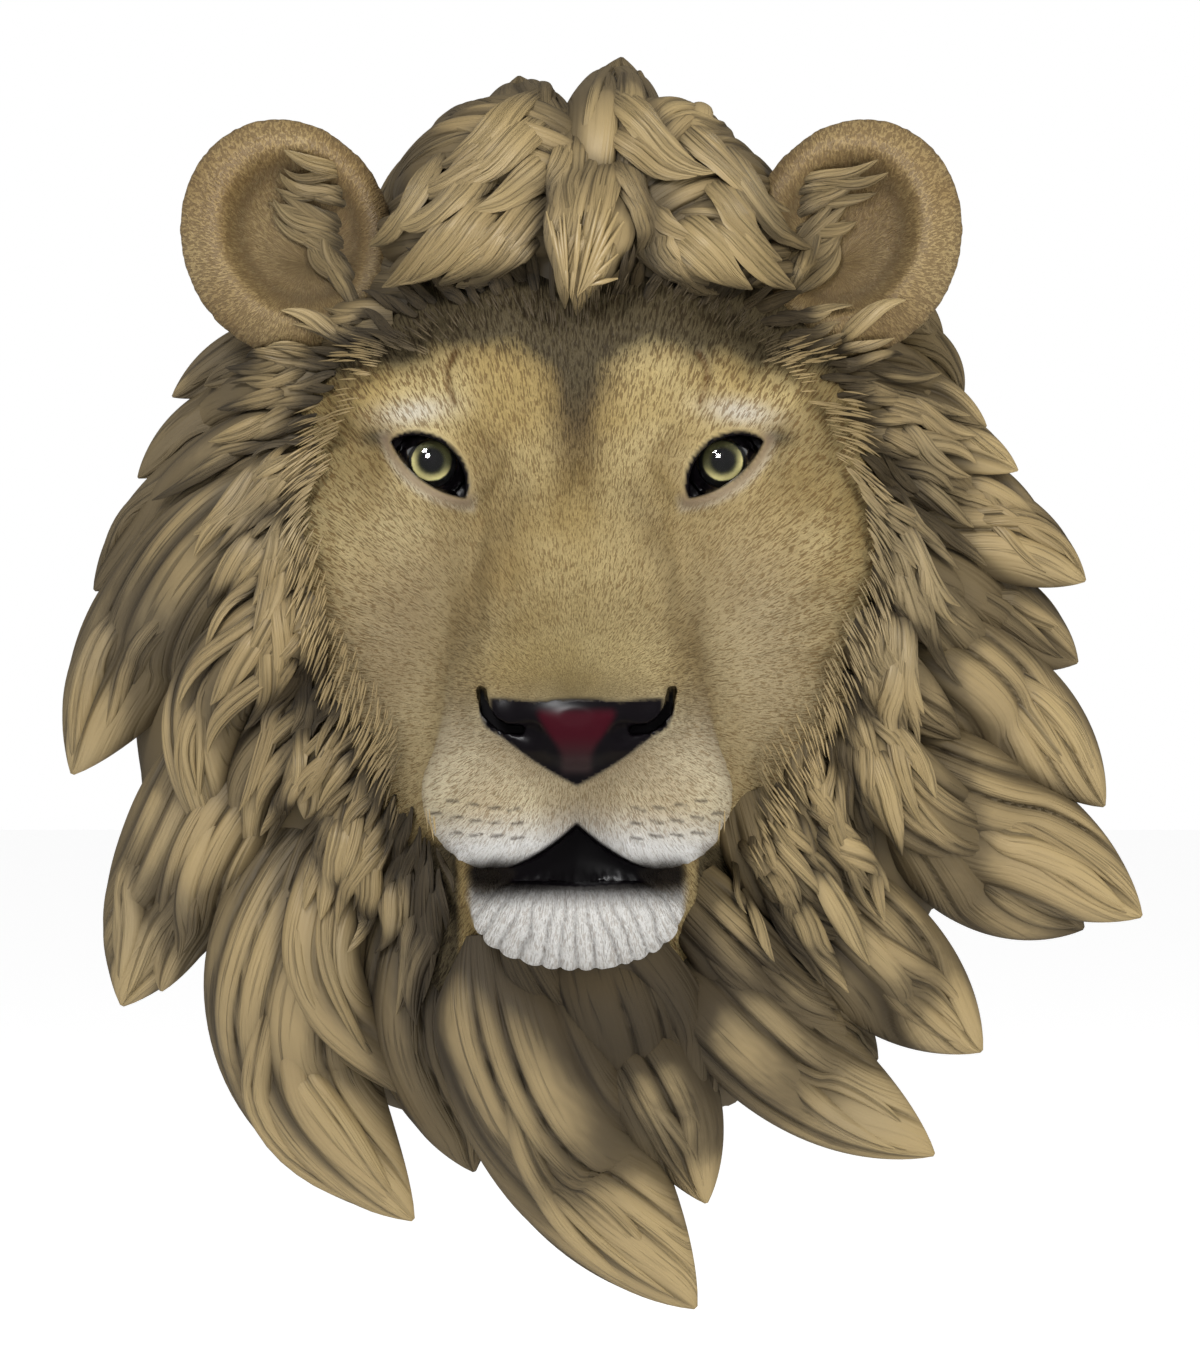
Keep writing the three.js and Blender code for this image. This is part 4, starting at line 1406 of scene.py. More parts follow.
    def fringe(self) -> Shape:
        """Draw the rows of fur round the face.

        Returns:
            The rows as lines.
        """
        rng = np.random.default_rng(self.seed)
        border = np.array(self.border, float)
        gaps = np.linalg.norm(np.diff(border, axis=0), axis=1)
        ruler = np.concatenate([[0], np.cumsum(gaps)])
        paths = []
        for row in self.rows:
            at = np.arange(0, ruler[-1], row.gap)
            at = at + rng.uniform(-0.4, 0.4, len(at)) * row.gap
            spots = np.stack([np.interp(at, ruler, border[:, n]) for n in (0, 1)], -1)
            spots = spots + self.aim(spots) * (row.offset + rng.uniform(-3, 3, len(at)))[:, None]
            over = (spots[:, 1] > 106) & (row.offset > -12)
            spots = spots[~over]
            at = at[~over]
            high = smooth(100, 122, spots[:, 1])
            lengths = row.length * rng.uniform(0.75, 1.3, len(at)) * (1 - 0.5 * high)
            girths = row.girth * rng.uniform(0.7, 1.25, len(at)) * (1 - 0.25 * high)
            tones = np.clip(row.tone + rng.uniform(-0.3, 0.3, len(at)) - high, 0, 1)
            paths.append(self.grow(spots, lengths, girths, tones))
        return self._together(paths)

    def forelock(self) -> Shape:
        """Draw the pale strands that hang from the crown to a point on the forehead.

        Returns:
            The strands as lines.
        """
        rng = np.random.default_rng(self.seed + 1)
        count = 24
        share = rng.uniform(0.4, 1, count)
        side = rng.uniform(-1, 1, count)
        spots = np.stack([3 + side * 15 * (1 - 0.3 * share), 170 - 42 * share - 6 * np.abs(side)], -1)
        goal = np.stack([-1 + side * 3.0, 116 + 6 * np.abs(side)], -1)
        away = goal - spots
        reach = np.linalg.norm(away, axis=1)
        lengths = np.minimum(reach, rng.uniform(20, 34, count))
        girths, tones = rng.uniform(0.7, 1.1, count), rng.uniform(0.6, 1, count)
        return self.grow(spots, lengths, girths, tones, away / reach[:, None])

    def in_ears(self) -> Shape:
        """Carve the tufts that stand in the hollow of each ear, from its inner side outwards.

        Returns:
            The tufts as one mesh.
        """
        rng = np.random.default_rng(self.seed + 2)
        shapes = []
        for side in (-1, 1):
            middle = side * self.ears.centre[0] + self.ears.shift
            for n in range(16):
                share = 1 - (n + rng.uniform(0, 1)) / 16
                start = np.array((middle - side * (22 - 3 * share), 116 + 44 * share + rng.uniform(-2, 2)))
                turn = math.radians(70 - 62 * share + rng.uniform(-14, 14))
                way = np.array((side * math.cos(turn), math.sin(turn)))
                length, width = rng.uniform(18, 30), rng.uniform(6, 9.5)
                sweep = self.lay(start, way, length, width, -side * rng.uniform(0.1, 0.6))
                if self.held(sweep):
                    shapes.append(self.mane.body(sweep, 3.4, pattern(rng), 20, 0.6))
        return Shape.merged(shapes)

    def _together(self, paths: list[Shape]) -> Shape:
        """Put several sets of paths into one.

        Args:
            paths: The sets.

        Returns:
            All of them as one shape.
        """
        edges, start = [], 0
        for part in paths:
            edges += [(a + start, b + start) for a, b in part.edges]
            start += len(part.points)
        whole = Shape.merged(paths)
        whole.edges = edges
        return whole


@dataclass
class Relief:
    """How far the mask stands out, as seen from the front, from which the hollows are found."""

    cell: float = 0.6
    half: float = 216.0

    def __post_init__(self) -> None:
        """Start with the bare wall."""
        size = int(2 * self.half / self.cell)
        self.map = np.zeros((size, size))

    def _index(self, points: Array) -> tuple[Array, Array]:
        """Give the cells that points fall in.

        Args:
            points: Rows of x, y and z.

        Returns:
            The cells' places across and up.
        """
        spot = ((points[:, [0, 2]] + self.half) / self.cell).astype(int)
        spot = np.clip(spot, 0, self.map.shape[0] - 1)
        return spot[:, 0], spot[:, 1]

    def add(self, points: Array) -> None:
        """Lay points onto the map."""
        np.maximum.at(self.map, self._index(points), -points[:, 1])

    def close(self) -> None:
        """Fill the cells that no vertex fell in from those beside them."""
        for axis in (0, 1):
            for _ in range(3):
                beside = np.maximum(np.roll(self.map, 1, axis), np.roll(self.map, -1, axis))
                self.map = np.maximum(self.map, beside)

    def blurred(self, radius: float) -> Array:
        """Give the map smoothed over a radius in millimetres.

        Args:
            radius: The radius.

        Returns:
            The smoothed map.
        """
        reach = int(radius * 2.5 / self.cell)
        steps = np.arange(-reach, reach + 1) * self.cell
        weights = np.exp(-0.5 * (steps / radius) ** 2)
        weights /= weights.sum()
        result = self.map
        for axis in (0, 1):
            result = np.apply_along_axis(np.convolve, axis, result, weights, "same")
        return result

    def settle(self) -> None:
        """Keep a lightly smoothed map for the strands to lie on."""
        self.soft = self.blurred(1.3)

    def front(self, spots: Array) -> Array:
        """Give how far the smoothed front stands out at places across and up.

        Args:
            spots: Rows of across and up.

        Returns:
            How far out from the wall each place is.
        """
        at = np.clip((spots + self.half) / self.cell - 0.5, 0, self.map.shape[0] - 2)
        base = at.astype(int)
        share = at - base
        total = np.zeros(len(spots))
        for across in (0, 1):
            for up in (0, 1):
                weight = np.abs(1 - across - share[:, 0]) * np.abs(1 - up - share[:, 1])
                total += weight * self.soft[base[:, 0] + across, base[:, 1] + up]
        return total

    def hollows(self, points: Array, blurs: list[tuple[Array, float]]) -> Array:
        """Say how deep in a hollow each point lies, from 0 on a ridge to 1.

        Args:
            points: The places.
            blurs: Smoothed maps, each with the depth that counts as a full hollow.

        Returns:
            One value for each place.
        """
        index = self._index(points)
        depth = sum((blur[index] + points[:, 1]) / full for blur, full in blurs)
        return smooth(-0.9, 1.3, depth)


# Shader maths as expressions
class Value:
    """A socket that carries a number, on which the operators add Math nodes."""

    def __init__(self, nodes: "Nodes", socket: bpy.types.NodeSocket) -> None:
        """Wrap a socket of a node tree."""
        self.nodes = nodes
        self.socket = socket

    def _math(self, operation: str, *values: "Value | float") -> "Value":
        """Add one Math node."""
        node = self.nodes.add("ShaderNodeMath", {"operation": operation}, dict(enumerate(values)))
        return Value(self.nodes, node.outputs[0])

    def __add__(self, other: "Value | float") -> "Value":
        """Add."""
        return self._math("ADD", self, other)

    __radd__ = __add__

    def __sub__(self, other: "Value | float") -> "Value":
        """Subtract."""
        return self._math("SUBTRACT", self, other)

    def __rsub__(self, other: "Value | float") -> "Value":
        """Subtract from a number."""
        return self._math("SUBTRACT", other, self)

    def __mul__(self, other: "Value | float") -> "Value":
        """Multiply."""
        return self._math("MULTIPLY", self, other)

    __rmul__ = __mul__

    def clamp(self) -> "Value":
        """Keep between 0 and 1."""
        return Value(self.nodes, self.nodes.add("ShaderNodeClamp", {}, {"Value": self}).outputs[0])

    def steps(self, low: float, high: float) -> "Value":
        """Rise smoothly from 0 to 1 between two values.

        Args:
            low: Where it is 0.
            high: Where it is 1.

        Returns:
            The new value.
        """
        settings = {"interpolation_type": "SMOOTHSTEP"}
        inputs = {"Value": self, "From Min": low, "From Max": high}
        return Value(self.nodes, self.nodes.add("ShaderNodeMapRange", settings, inputs).outputs["Result"])


Colour = tuple[float, float, float]


class Nodes:
    """A material's node tree, to which each node is added by one method."""

    def __init__(self, name: str) -> None:
        """Start an empty material with its output and shader.

        Args:
            name: The material's name.
        """
        self.material = bpy.data.materials.new(name)
        self.material.use_nodes = True
        self.tree = self.material.node_tree
        self.tree.nodes.clear()
        self.output = self.add("ShaderNodeOutputMaterial", {}, {})
        self.shader = self.add("ShaderNodeBsdfPrincipled", {}, {})
        self.tree.links.new(self.shader.outputs[0], self.output.inputs["Surface"])

    def add(self, kind: str, settings: dict, inputs: dict) -> bpy.types.Node:
        """Add a node.

        Args:
            kind: The node's type.
            settings: Its properties.
            inputs: Values or links for its sockets, by name or number.

        Returns:
            The node.
        """
        node = self.tree.nodes.new(kind)
        for name, value in settings.items():
            setattr(node, name, value)
        for key, value in inputs.items():
            self._set(node.inputs[key], value)
        return node

    def _set(self, socket: bpy.types.NodeSocket, value: object) -> None:
        """Link a socket, or set it on itself.

        Args:
            socket: The socket.
            value: A value, another node's socket, or numbers.
        """
        if isinstance(value, Value):
            self.tree.links.new(value.socket, socket)
        elif isinstance(value, bpy.types.NodeSocket):
            self.tree.links.new(value, socket)
        elif socket.type == "RGBA":
            socket.default_value = (*value, 1)
        else:
            socket.default_value = value

    def fact(self, name: str) -> Value:
        """Read a number that the mesh carries."""
        return Value(self, self.add("ShaderNodeAttribute", {"attribute_name": name}, {}).outputs["Fac"])

    def flow(self, name: str) -> bpy.types.NodeSocket:
        """Read a place that the mesh carries."""
        return self.add("ShaderNodeAttribute", {"attribute_name": name}, {}).outputs["Vector"]

    def place(self) -> bpy.types.NodeSocket:
        """Read the object's own coordinates."""
        return self.add("ShaderNodeTexCoord", {}, {}).outputs["Object"]

    def stretched(self, vector: bpy.types.NodeSocket, factors: Place) -> bpy.types.NodeSocket:
        """Scale a place by a factor for each axis."""
        inputs = {0: vector, 1: factors}
        return self.add("ShaderNodeVectorMath", {"operation": "MULTIPLY"}, inputs).outputs[0]

    def noise(
        self, vector: bpy.types.NodeSocket, scale: float, detail: float = 2.0, rough: float = 0.5
    ) -> Value:
        """Add a noise texture, and give its value."""
        inputs = {"Vector": vector, "Scale": scale, "Detail": detail, "Roughness": rough}
        return Value(self, self.add("ShaderNodeTexNoise", {}, inputs).outputs[0])

    def mix(self, factor: "Value | float", a: object, b: object) -> bpy.types.NodeSocket:
        """Mix two colours."""
        settings = {"data_type": "RGBA", "clamp_factor": True}
        return self.add("ShaderNodeMix", settings, {0: factor, 6: a, 7: b}).outputs[2]

    def relief(self, height: Value, depth: float, strength: float) -> None:
        """Feed a bump into the shader's normal."""
        inputs = {"Height": height, "Distance": depth, "Strength": strength}
        self.finish(Normal=self.add("ShaderNodeBump", {}, inputs).outputs[0])

    def finish(self, **inputs: object) -> None:
        """Set the shader's sockets, with a space for each underscore."""
        for name, value in inputs.items():
            self._set(self.shader.inputs[name.replace("_", " ")], value)


@dataclass(frozen=True)
class ManeFinish:
    """Tan paint, olive brown washed and painted shade in the carving's recesses, under a satin varnish."""

    light: Colour = (0.335, 0.248, 0.114)
    tan: Colour = (0.255, 0.184, 0.083)
    olive: Colour = (0.128, 0.093, 0.042)
    dark: Colour = (0.026, 0.017, 0.007)
    grey: Colour = (0.19, 0.160, 0.105)

    def material(self) -> bpy.types.Material:
        """Build the material.

        Returns:
            The material.
        """
        nodes = Nodes("mane_paint")
        hollow, groove = nodes.fact("hollow"), nodes.fact("groove")
        along, tone = nodes.fact("along"), nodes.fact("tone")
        strand, place = nodes.flow("strand"), nodes.place()
        patches = nodes.noise(place, 26.0, 3.0)
        # A strand's first coordinate counts ridges, so its fraction is a half on a ridge's top
        lane = Value(nodes, nodes.add("ShaderNodeSeparateXYZ", {}, {0: strand}).outputs[0])
        part = lane._math("FRACT", lane) - 0.5
        valley = part._math("ABSOLUTE", part) * 2
        strokes = nodes.noise(nodes.stretched(strand, (12.0, 0.3, 1.0)), 1.0, 1.5, 0.5)
        broad = nodes.noise(nodes.stretched(strand, (0.8, 0.16, 1.0)), 1.0, 2.0, 0.5)
        carved = strokes.steps(0.57, 0.68) * (broad.steps(0.42, 0.6) * 0.8 + 0.2)
        warm = (patches * 0.9 + tone * 0.5 + broad * 0.6 - 0.65).clamp()
        base = nodes.mix(warm, self.tan, self.light)
        base = nodes.mix(nodes.noise(place, 15.0, 2.0).steps(0.5, 0.66) * 0.3, base, self.grey)
        base = nodes.mix((along.steps(0.55, 1.0) * 0.35).clamp(), base, self.light)
        # Olive wash over the recesses, the valleys and broad patches, with painted shade in the recesses and
        # at the roots under the lock above
        wash_and_shade = hollow * 0.92 + valley.steps(0.5, 1.0) * 0.35 + broad.steps(0.45, 0.75) * 0.3
        wash_and_shade = (wash_and_shade - 0.46 + along.steps(0.4, 0.0) * 0.2).clamp()
        base = nodes.mix(wash_and_shade, base, self.olive)
        # Painted shade: the deepest recesses go dark brown
        base = nodes.mix((hollow.steps(0.66, 1.3) * 0.8).clamp(), base, self.dark)
        # Dark lines in the ridges' valleys and the carved strokes, darker at the roots: wash with painted
        # shade
        line = groove * valley.steps(0.80, 1.0) * (0.5 - along * 0.3) + carved * (0.55 - along * 0.3)
        base = nodes.mix(line.clamp(), base, self.dark)
        rough = (0.27 + hollow * 0.35 + patches * 0.14).clamp()
        nodes.finish(Base_Color=base, Roughness=rough, Specular_IOR_Level=0.45)
        nodes.relief(strokes * -0.8 - carved * 0.5 - valley.steps(0.75, 1.0) * groove, 0.0012, 0.7)
        return nodes.material


@dataclass(frozen=True)
class FaceFinish:
    """Short painted fur over golden tan with painted shade in its hollows, white lips and chin, black nose,
    mouth and eye rims.
    """

    gold: Colour = (0.298, 0.216, 0.080)
    pale: Colour = (0.395, 0.312, 0.146)
    brown: Colour = (0.13, 0.078, 0.028)
    dusk: Colour = (0.070, 0.054, 0.028)
    white: Colour = (0.52, 0.51, 0.487)
    ink: Colour = (0.028, 0.019, 0.009)
    pink: Colour = (0.032, 0.0015, 0.005)
    pink_low: Colour = (0.022, 0.013, 0.013)
    # What is brushed over the fur, the black also over the painted shadow under the mouth: the fact that
    # masks it, how strongly, and its colour
    coats: tuple[tuple[str, float, Colour], ...] = (
        ("rust", 0.5, (0.11, 0.05, 0.018)),
        ("lid", 0.75, (0.13, 0.092, 0.066)),
        ("comb", 0.5, (0.16, 0.15, 0.14)),
        ("marks", 1.0, (0.035, 0.025, 0.018)),
        ("black", 1.0, (0.004, 0.003, 0.004)),
    )

    def material(self) -> bpy.types.Material:
        """Build the material.

        Returns:
            The material.
        """
        nodes = Nodes("face_paint")
        fur, place = nodes.flow("fur"), nodes.place()
        hollow, edge = nodes.fact("hollow"), nodes.fact("edge")
        bare, white = nodes.fact("bare"), nodes.fact("white")
        near, wide = nodes.noise(fur, 0.85, 2.0, 0.6), nodes.noise(fur, 1.35, 2.0, 0.6)
        far = nodes.fact("far")
        strokes = near + (wide - near) * far
        clumps = nodes.noise(fur, 0.2, 2.0)
        patches = nodes.noise(place, 26.0, 3.0)
        base = nodes.mix(patches.steps(0.35, 0.68), self.gold, self.pale)
        base = nodes.mix((white * 1.2).clamp(), base, self.white)
        # Painted shade in the hollows and from the dark mask beside the bridge, under the lip and on the jaw,
        # with the brow's dark fur band
        shade = (hollow * 0.7 - 0.40 + nodes.fact("dusk") * 0.95 + clumps * 0.15 - white * 0.35).clamp()
        dark = nodes.mix((edge * 0.5 + nodes.fact("dusk")).clamp(), self.brown, self.dusk)
        base = nodes.mix(shade, base, dark)
        mark = strokes.steps(0.50, 0.41) * (0.72 + edge * 0.15 - white * 0.5) * (1 - bare)
        ink = nodes.mix((nodes.fact("dusk") * 1.5).clamp(), self.brown, self.ink)
        base = nodes.mix(mark.clamp(), base, ink)
        for fact, strength, colour in self.coats:
            base = nodes.mix((nodes.fact(fact) * strength).clamp(), base, colour)
        height = nodes.add("ShaderNodeSeparateXYZ", {}, {0: place}).outputs[2]
        low = Value(nodes, height).steps(-14 * MM, -25 * MM)
        base = nodes.mix(nodes.fact("pink"), base, nodes.mix(low, self.pink, self.pink_low))
        rough = (0.52 - nodes.fact("black") * 0.26 + strokes * 0.08).clamp()
        nodes.finish(Base_Color=base, Roughness=rough, Specular_IOR_Level=0.16)
        nodes.relief(strokes * (1 - bare), 0.0017, 0.95)
        return nodes.material


@dataclass(frozen=True)
class EarFinish:
    """The ears' short golden fur, grey-brown in the hollow, with painted shade in its depths."""

    gold: Colour = (0.23, 0.150, 0.054)
    pale: Colour = (0.30, 0.215, 0.092)
    brown: Colour = (0.10, 0.058, 0.022)
    inner: Colour = (0.060, 0.044, 0.024)

    def material(self) -> bpy.types.Material:
        """Build the material.

        Returns:
            The material.
        """
        nodes = Nodes("ear_paint")
        fur, inner = nodes.flow("fur"), nodes.fact("inner")
        strokes = nodes.noise(fur, 1.6, 2.0, 0.6)
        patches = nodes.noise(nodes.place(), 30.0, 3.0)
        base = nodes.mix(patches.steps(0.3, 0.7), self.gold, self.pale)
        # The dish's inside goes dark: grey-brown fur, with painted shade in its recesses
        base = nodes.mix((inner * 0.85 + nodes.fact("hollow") * 0.3).clamp(), base, self.inner)
        base = nodes.mix((strokes.steps(0.56, 0.48) * 0.6).clamp(), base, self.brown)
        nodes.finish(Base_Color=base, Roughness=(0.5 + strokes * 0.1).clamp())
        nodes.relief(strokes, 0.0011, 0.8)
        return nodes.material


@dataclass(frozen=True)
class GlassFinish:
    """The clear glass of an eye."""

    bend: float = 1.45

    def material(self) -> bpy.types.Material:
        """Build the material.

        Returns:
            The material.
        """
        nodes = Nodes("eye_clear_glass")
        nodes.finish(Base_Color=(1.0, 1.0, 1.0), Roughness=0.0, IOR=self.bend, Transmission_Weight=1.0)
        return nodes.material


@dataclass(frozen=True)
class IrisFinish:
    """Painted behind an eye's glass: a yellow-green iris round a black pupil, black beyond, and painted
    light.
    """

    centre: Place
    radius: float = 7.0
    pupil: float = 3.8
    lime: Colour = (0.38, 0.34, 0.15)
    moss: Colour = (0.030, 0.029, 0.012)
    black: Colour = (0.003, 0.003, 0.003)

    def material(self, name: str) -> bpy.types.Material:
        """Build the material for the eye at the centre.

        Args:
            name: The material's name.

        Returns:
            The material.
        """
        nodes = Nodes(name)
        parts = nodes.add("ShaderNodeSeparateXYZ", {}, {0: nodes.place()})
        across = Value(nodes, parts.outputs[0]) - self.centre[0] * MM
        up = Value(nodes, parts.outputs[2]) - (self.centre[2] + 0.9) * MM
        front = (Value(nodes, parts.outputs[1]) + self.centre[1] * MM).steps(0.0, -2 * MM)
        reach = nodes.noise(nodes.place(), 900.0) * (0.5 * MM)
        square = across * across + up * up
        distance = square._math("SQRT", square) + reach - 0.25 * MM
        outward = 1.0 if self.centre[0] > 0 else -1.0
        # Painted light: a bright crescent low on the iris's outer side, as light gathered through the glass,
        # and painted shade at its top under the lid
        low = (up * (-1.0 / (7 * MM)) + across * (outward * 0.55 / (7 * MM))).steps(-0.35, 0.75)
        outer = distance.steps(self.pupil * MM, (self.radius - 0.4) * MM)
        lime = nodes.mix(low * outer, self.moss, self.lime)
        ring = distance.steps(self.radius * MM, (self.radius - 0.7) * MM) * front
        hole = distance.steps((self.pupil + 1.2) * MM, (self.pupil - 0.6) * MM)
        colour = nodes.mix(ring, self.black, nodes.mix(hole, lime, self.black))
        nodes.finish(Base_Color=colour, Roughness=0.6, Specular_IOR_Level=0.05)
        # Painted light: the iris glows a little, to stand in for the light that the glass keeps from it
        nodes.finish(Emission_Color=colour, Emission_Strength=0.4)
        return nodes.material


@dataclass
class Eyes:
    """The two glass eyes, each a clear ball over a painted core."""

    head: Head
    core: float = 10.6

    def ball(self, name: str, centre: Place, radius: float) -> bpy.types.Object:
        """Make a fine closed ball with its pole to the front.

        Args:
            name: The object's name.
            centre: Its centre, as out from the wall.
            radius: Its radius.

        Returns:
            The ball as an object.
        """
        rings, sides = 40, 64
        turn = np.linspace(0, np.pi, rings + 1)[1:-1]
        round_ = np.linspace(0, 2 * np.pi, sides, endpoint=False)
        grid = np.stack(
            [
                np.outer(np.sin(turn), np.cos(round_)),
                -np.outer(np.cos(turn), np.ones(sides)),
                np.outer(np.sin(turn), np.sin(round_)),
            ],
            -1,
        ).reshape(-1, 3)
        points = np.concatenate([grid, [(0, -1, 0), (0, 1, 0)]]) * radius + (centre[0], -centre[1], centre[2])
        ring = np.arange(sides)
        after = np.roll(ring, -1)
        band = np.stack([ring, after, after + sides, ring + sides], -1)
        faces = [tuple(face) for k in range(rings - 2) for face in (band + k * sides).tolist()]
        last = (rings - 2) * sides
        front, rear = len(grid), len(grid) + 1
        faces += [(front, int(m), int(n)) for n, m in zip(ring, after)]
        faces += [(rear, int(last + n), int(last + m)) for n, m in zip(ring, after)]
        return Shape(points, faces).object(name)

    def build(self) -> list[bpy.types.Object]:
        """Make both eyes.

        Returns:
            The glasses and cores.
        """
        pieces = []
        glass = GlassFinish().material()
        for side, word in ((-1, "left"), (1, "right")):
            eye = self.head.eye
            centre = (side * eye[0], eye[1], eye[2])
            shell = self.ball(f"eye_glass_{word}", centre, self.head.eye_radius)
            shell.data.materials.append(glass)
            core = self.ball(f"eye_iris_{word}", centre, self.core)
            core.data.materials.append(IrisFinish(centre).material(f"eye_iris_paint_{word}"))
            for piece in (shell, core):
                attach(piece, "root")
                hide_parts(f"glass_eye_{word}")
                pieces.append(piece)
        return pieces


@dataclass
class Studio:
    """A pale floor below the mask, soft light and a camera straight in front."""

    distance: float = 2.2
    floor: float = -0.30

    def build(self) -> None:
        """Set up the floor, the lights, the world and the camera."""
        scene = bpy.context.scene
        side = 12.0
        mesh = bpy.data.meshes.new("floor")
        corners = [(x * side, y * side, self.floor) for x, y in ((-1, -1), (1, -1), (1, 1), (-1, 1))]
        mesh.from_pydata(corners, [], [(0, 1, 2, 3)])
        floor = bpy.data.objects.new("floor", mesh)
        scene.collection.objects.link(floor)
        nodes = Nodes("studio_floor")
        nodes.finish(Base_Color=(0.95, 0.95, 0.95), Roughness=0.9)
        nodes.finish(Emission_Color=(1.0, 1.0, 1.0), Emission_Strength=0.42)
        mesh.materials.append(nodes.material)
        floor.visible_glossy = False
        self.light("key", (-0.8, -1.6, 1.4), 0.5, 26)
        self.light("fill", (1.3, -1.7, 0.6), 1.0, 26, False)
        self.light("low_fill", (0.0, -1.8, -0.1), 0.8, 3, False)
        sparkle = self.light("sparkle", (-0.42, -1.9, 0.85), 0.5, 24)
        sparkle.visible_diffuse = False
        world = bpy.data.worlds.new("studio")
        scene.world = world
        world.use_nodes = True
        tree = world.node_tree
        soft = tree.nodes["Background"]
        bright, room = (tree.nodes.new("ShaderNodeBackground") for _ in range(2))
        for node, strength in ((soft, 0.62), (bright, 1.0), (room, 0.15)):
            node.inputs["Strength"].default_value = strength
        for node in (soft, bright):
            node.inputs["Color"].default_value = (1, 1, 1, 1)
        # The backdrop itself is seen pure white, and glass and varnish mirror a darker room
        rays = tree.nodes.new("ShaderNodeLightPath").outputs
        shown = soft
        for ray, other in (("Is Glossy Ray", room), ("Is Camera Ray", bright)):
            mixed = tree.nodes.new("ShaderNodeMixShader")
            for start, end in zip((rays[ray], shown.outputs[0], other.outputs[0]), mixed.inputs):
                tree.links.new(start, end)
            shown = mixed
        tree.links.new(shown.outputs[0], tree.nodes["World Output"].inputs["Surface"])
        scene.view_settings.view_transform = "Standard"
        self.camera()

    def light(
        self, name: str, place: Place, size: float, power: float, mirrored: bool = True
    ) -> bpy.types.Object:
        """Hang a square soft light that faces the mask.

        Args:
            name: The light's name.
            place: Where it hangs, in metres.
            size: Its side in metres.
            power: Its power in watts.
            mirrored: Whether it shows in glass and varnish.

        Returns:
            The light's object.
        """
        lamp = bpy.data.lights.new(name, "AREA")
        lamp.size, lamp.energy = size, power
        thing = bpy.data.objects.new(name, lamp)
        thing.location = place
        thing.rotation_euler = (Vector((0, -0.05, 0)) - Vector(place)).to_track_quat("-Z", "Y").to_euler()
        thing.visible_glossy = mirrored
        bpy.context.scene.collection.objects.link(thing)
        return thing

    def camera(self) -> None:
        """Put the camera where the photograph was taken from, for a picture of 1200 by 1370."""
        centre_across, centre_up = 7.0 * MM, 0.0
        picture_height = 1370 * 0.321 * MM
        data = bpy.data.cameras.new("camera")
        data.sensor_fit = "AUTO"
        data.sensor_width = 36.0
        data.lens = data.sensor_width * self.distance / picture_height
        camera = bpy.data.objects.new("camera", data)
        camera.location = (centre_across, -self.distance, centre_up)
        camera.rotation_euler = (math.pi / 2, 0, 0)
        bpy.context.scene.collection.objects.link(camera)
        bpy.context.scene.camera = camera


def paint_facts(head: Head, face: Shape) -> None:
    """Add the face's painted marks: dark brow fur, painted shade by the bridge, lip and jaw, rust in creases,
    whisker dashes.

    Args:
        head: The head that was carved.
        face: Its mesh, which gets the marks.
    """
    folded = head.folded(face.points)
    across, out, up = folded[:, 0], -folded[:, 1], folded[:, 2]
    wave = 1.6 * lattice(face.points[:, [0, 2]] * 0.11, 41)
    band = (across + wave) / (8.0 + 11.0 * smooth(80, 118, up))
    # The forehead's band of dark fur, the brow's end, and painted shade on the bridge's sides, under the lip
    # and on the jaw's side
    dusk = bump(band, 1.0) * smooth(50, 94, up) * 0.95 + smooth(97, 117, up + across * 0.12 + 2 * wave)
    dusk += 0.22 * bump(to_path(folded, [(18, 58), (24, 44), (31, 24), (32, 8), (32, -4)]), 4.8)
    dusk += 0.6 * bump(np.hypot((across - 62) / 5, (up - 76) / 3), 1.0)
    dusk += smooth(-64, -58, up) * smooth(36, 30, across) * smooth(-52, -58, up) * 0.9
    dusk += 1.2 * smooth(-44, -56, up) * smooth(35, 40, across)
    rust = bump(to_path(folded, list(head.creases[0].path)), 0.8)
    marks = np.zeros(len(across))
    for row, (height, first, count) in enumerate(((-36.5, 17, 4), (-41.0, 15, 5), (-45.5, 14, 4))):
        for n in range(count):
            start = first + n * 6.2 + row
            lift = height + 0.12 * (start - 20) + 0.4 * math.sin(n * 5.1 + row)
            dash = to_path(folded, [(start, lift), (start + 3.4, lift - 0.6)])
            marks = np.maximum(marks, smooth(0.65, 0.2, dash))
    face.facts["dusk"] = np.clip(dusk, 0, 1)
    face.facts["rust"] = np.clip(rust, 0, 1)
    face.facts["marks"] = marks * smooth(126, 132, out) * 0.7


def chin_shade_and_sprayed_brown(points: Array, near_face: bool) -> Array:
    """Give the painted shade under the chin, and the brown that is sprayed in clouds over the mane and thinly
    over what lies by the face.

    Args:
        points: Rows of x, y and z.
        near_face: Whether they belong to the small locks round the face.

    Returns:
        How much to add to each point's hollow.
    """
    # Painted shade in the mane under the chin
    chin = bump(np.hypot((points[:, 0] - 4) / 46, (points[:, 2] + 98) / 24), 1.0)
    across = np.abs(points[:, 0])
    hairline = smooth(98, 112, points[:, 2] + across * 0.14) * smooth(76, 58, across)
    cloud = 0.12 * np.clip(lattice(points * 0.028, 51) + 0.1, 0, 1)
    front = smooth(-8, -30, points[:, 1])
    return 0.8 * chin * front + cloud + (0.16 + 0.8 * hairline if near_face else 0.0)


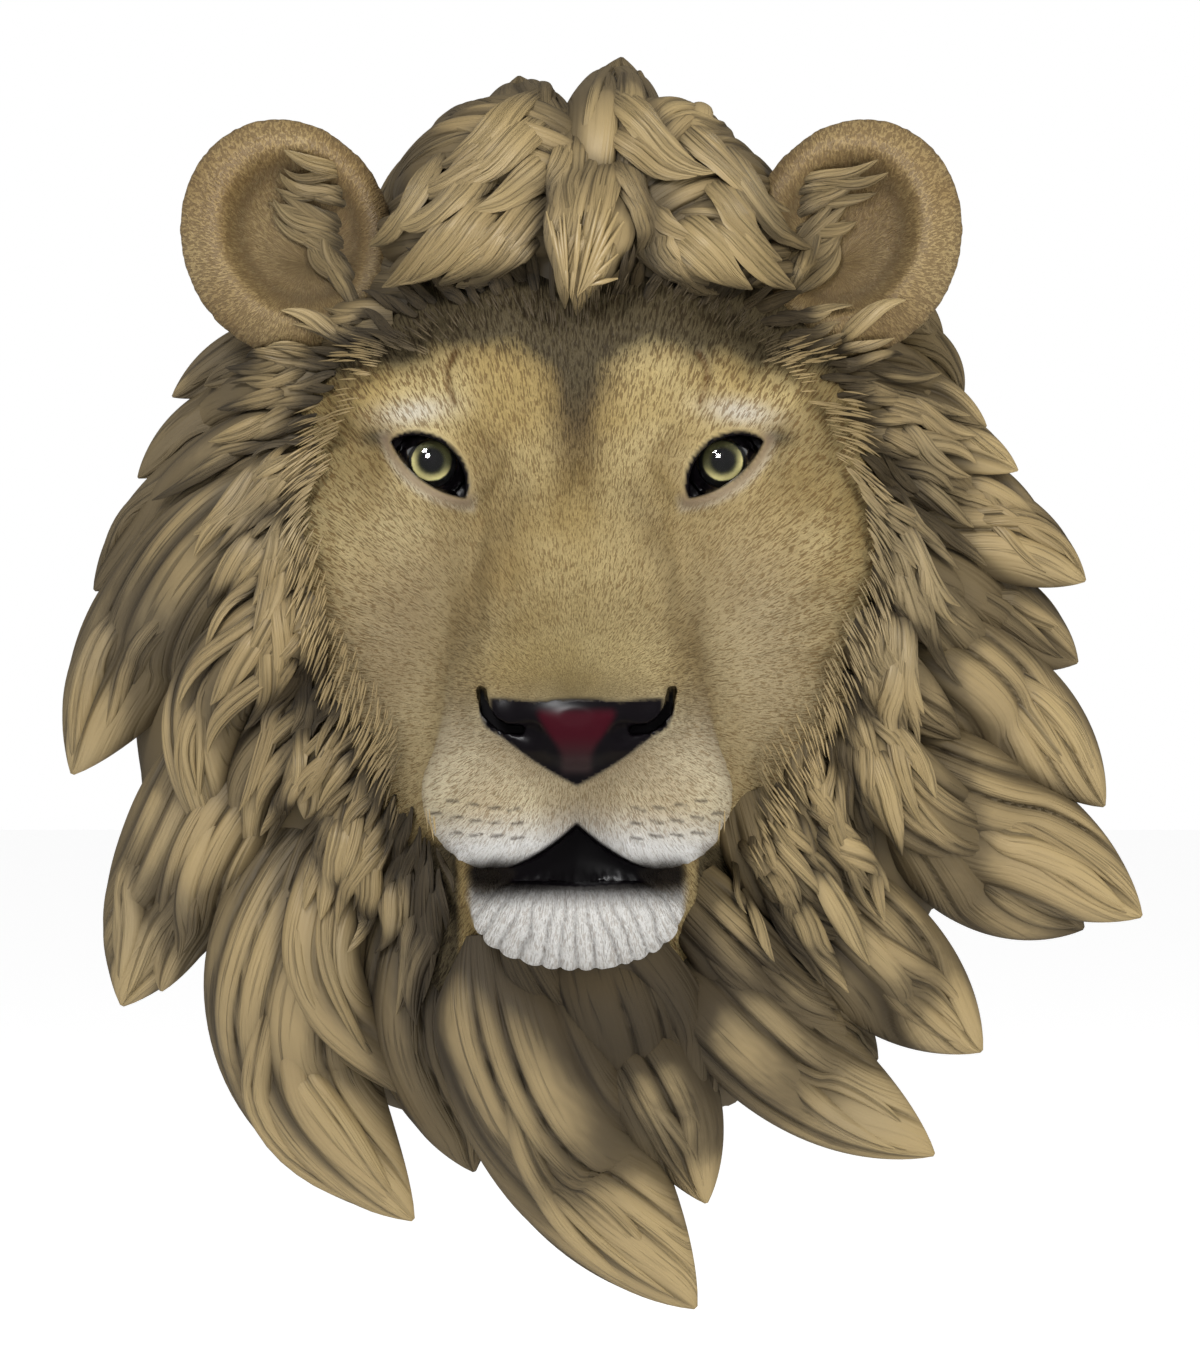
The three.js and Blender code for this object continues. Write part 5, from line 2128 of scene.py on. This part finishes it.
def dress(piece: bpy.types.Object) -> None:
    """Tie a piece of the casting to the frame.

    Args:
        piece: The piece, with its material on it.
    """
    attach(piece, "root")
    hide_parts(CASTING)
    log.info("%s: %d faces", piece.name, len(piece.data.polygons))


def main() -> None:
    """Build every piece in order and light it."""
    logging.basicConfig(level=logging.INFO, format="%(name)s %(message)s")
    head, bed, ears = Head(), Bed(), Ears()
    mane = Mane(head, bed)
    shapes = {"lion_face": head.build(), "lion_ears": ears.build(), "mane_bed": bed.build()}
    paint_facts(head, shapes["lion_face"])
    for group in mane.groups:
        shapes[f"mane_{group}"] = mane.build(group)
    relief = Relief()
    for shape in shapes.values():
        relief.add(shape.points)
    relief.close()
    relief.settle()
    tree, ruff = StrandTree(ManeFinish().material()), Ruff(relief, ears, mane)
    small = {"ear_tufts": ruff.in_ears(), "crown_waves": ruff.over_crown(), "face_locks": ruff.round_face()}
    for shape in small.values():
        relief.add(shape.points)
    relief.close()
    relief.settle()
    shapes |= small
    blurs = [(relief.blurred(2.5), 7.0), (relief.blurred(8.0), 9.0)]
    finishes = {"lion_face": FaceFinish().material(), "lion_ears": EarFinish().material()}
    for name, shape in shapes.items():
        # The hollow fact is how deep a point lies in a recess; the paints turn it into painted shade, and the
        # mane's pieces get painted shade under the chin added
        shape.facts["hollow"] = relief.hollows(shape.points, blurs)
        if name != "lion_face":
            shape.facts["hollow"] += chin_shade_and_sprayed_brown(shape.points, name == "face_locks")
        shape.points = np.clip(shape.points, np.array(CAD_BOX[0]) / MM, np.array(CAD_BOX[1]) / MM)
        piece = shape.object(name)
        piece.data.materials.append(finishes.get(name, tree.material))
        dress(piece)
    coats = {
        "face_fringe": ruff.fringe(),
        "forelock": ruff.forelock(),
    }
    for name, paths in coats.items():
        count = len(paths.points)
        # The strands' hollow fact carries painted shade too
        paths.facts["hollow"] = relief.hollows(paths.points, blurs) * 0.8
        paths.facts["hollow"] += chin_shade_and_sprayed_brown(paths.points, name == "face_fringe")
        paths.facts["groove"] = np.zeros(count)
        paths.facts["strand"] = np.full_like(paths.points, 0.5)
        dress(tree.skin(name, paths, 5, 1.0))
    Eyes(head).build()
    Studio().build()


if __name__ == "__main__":
    main()
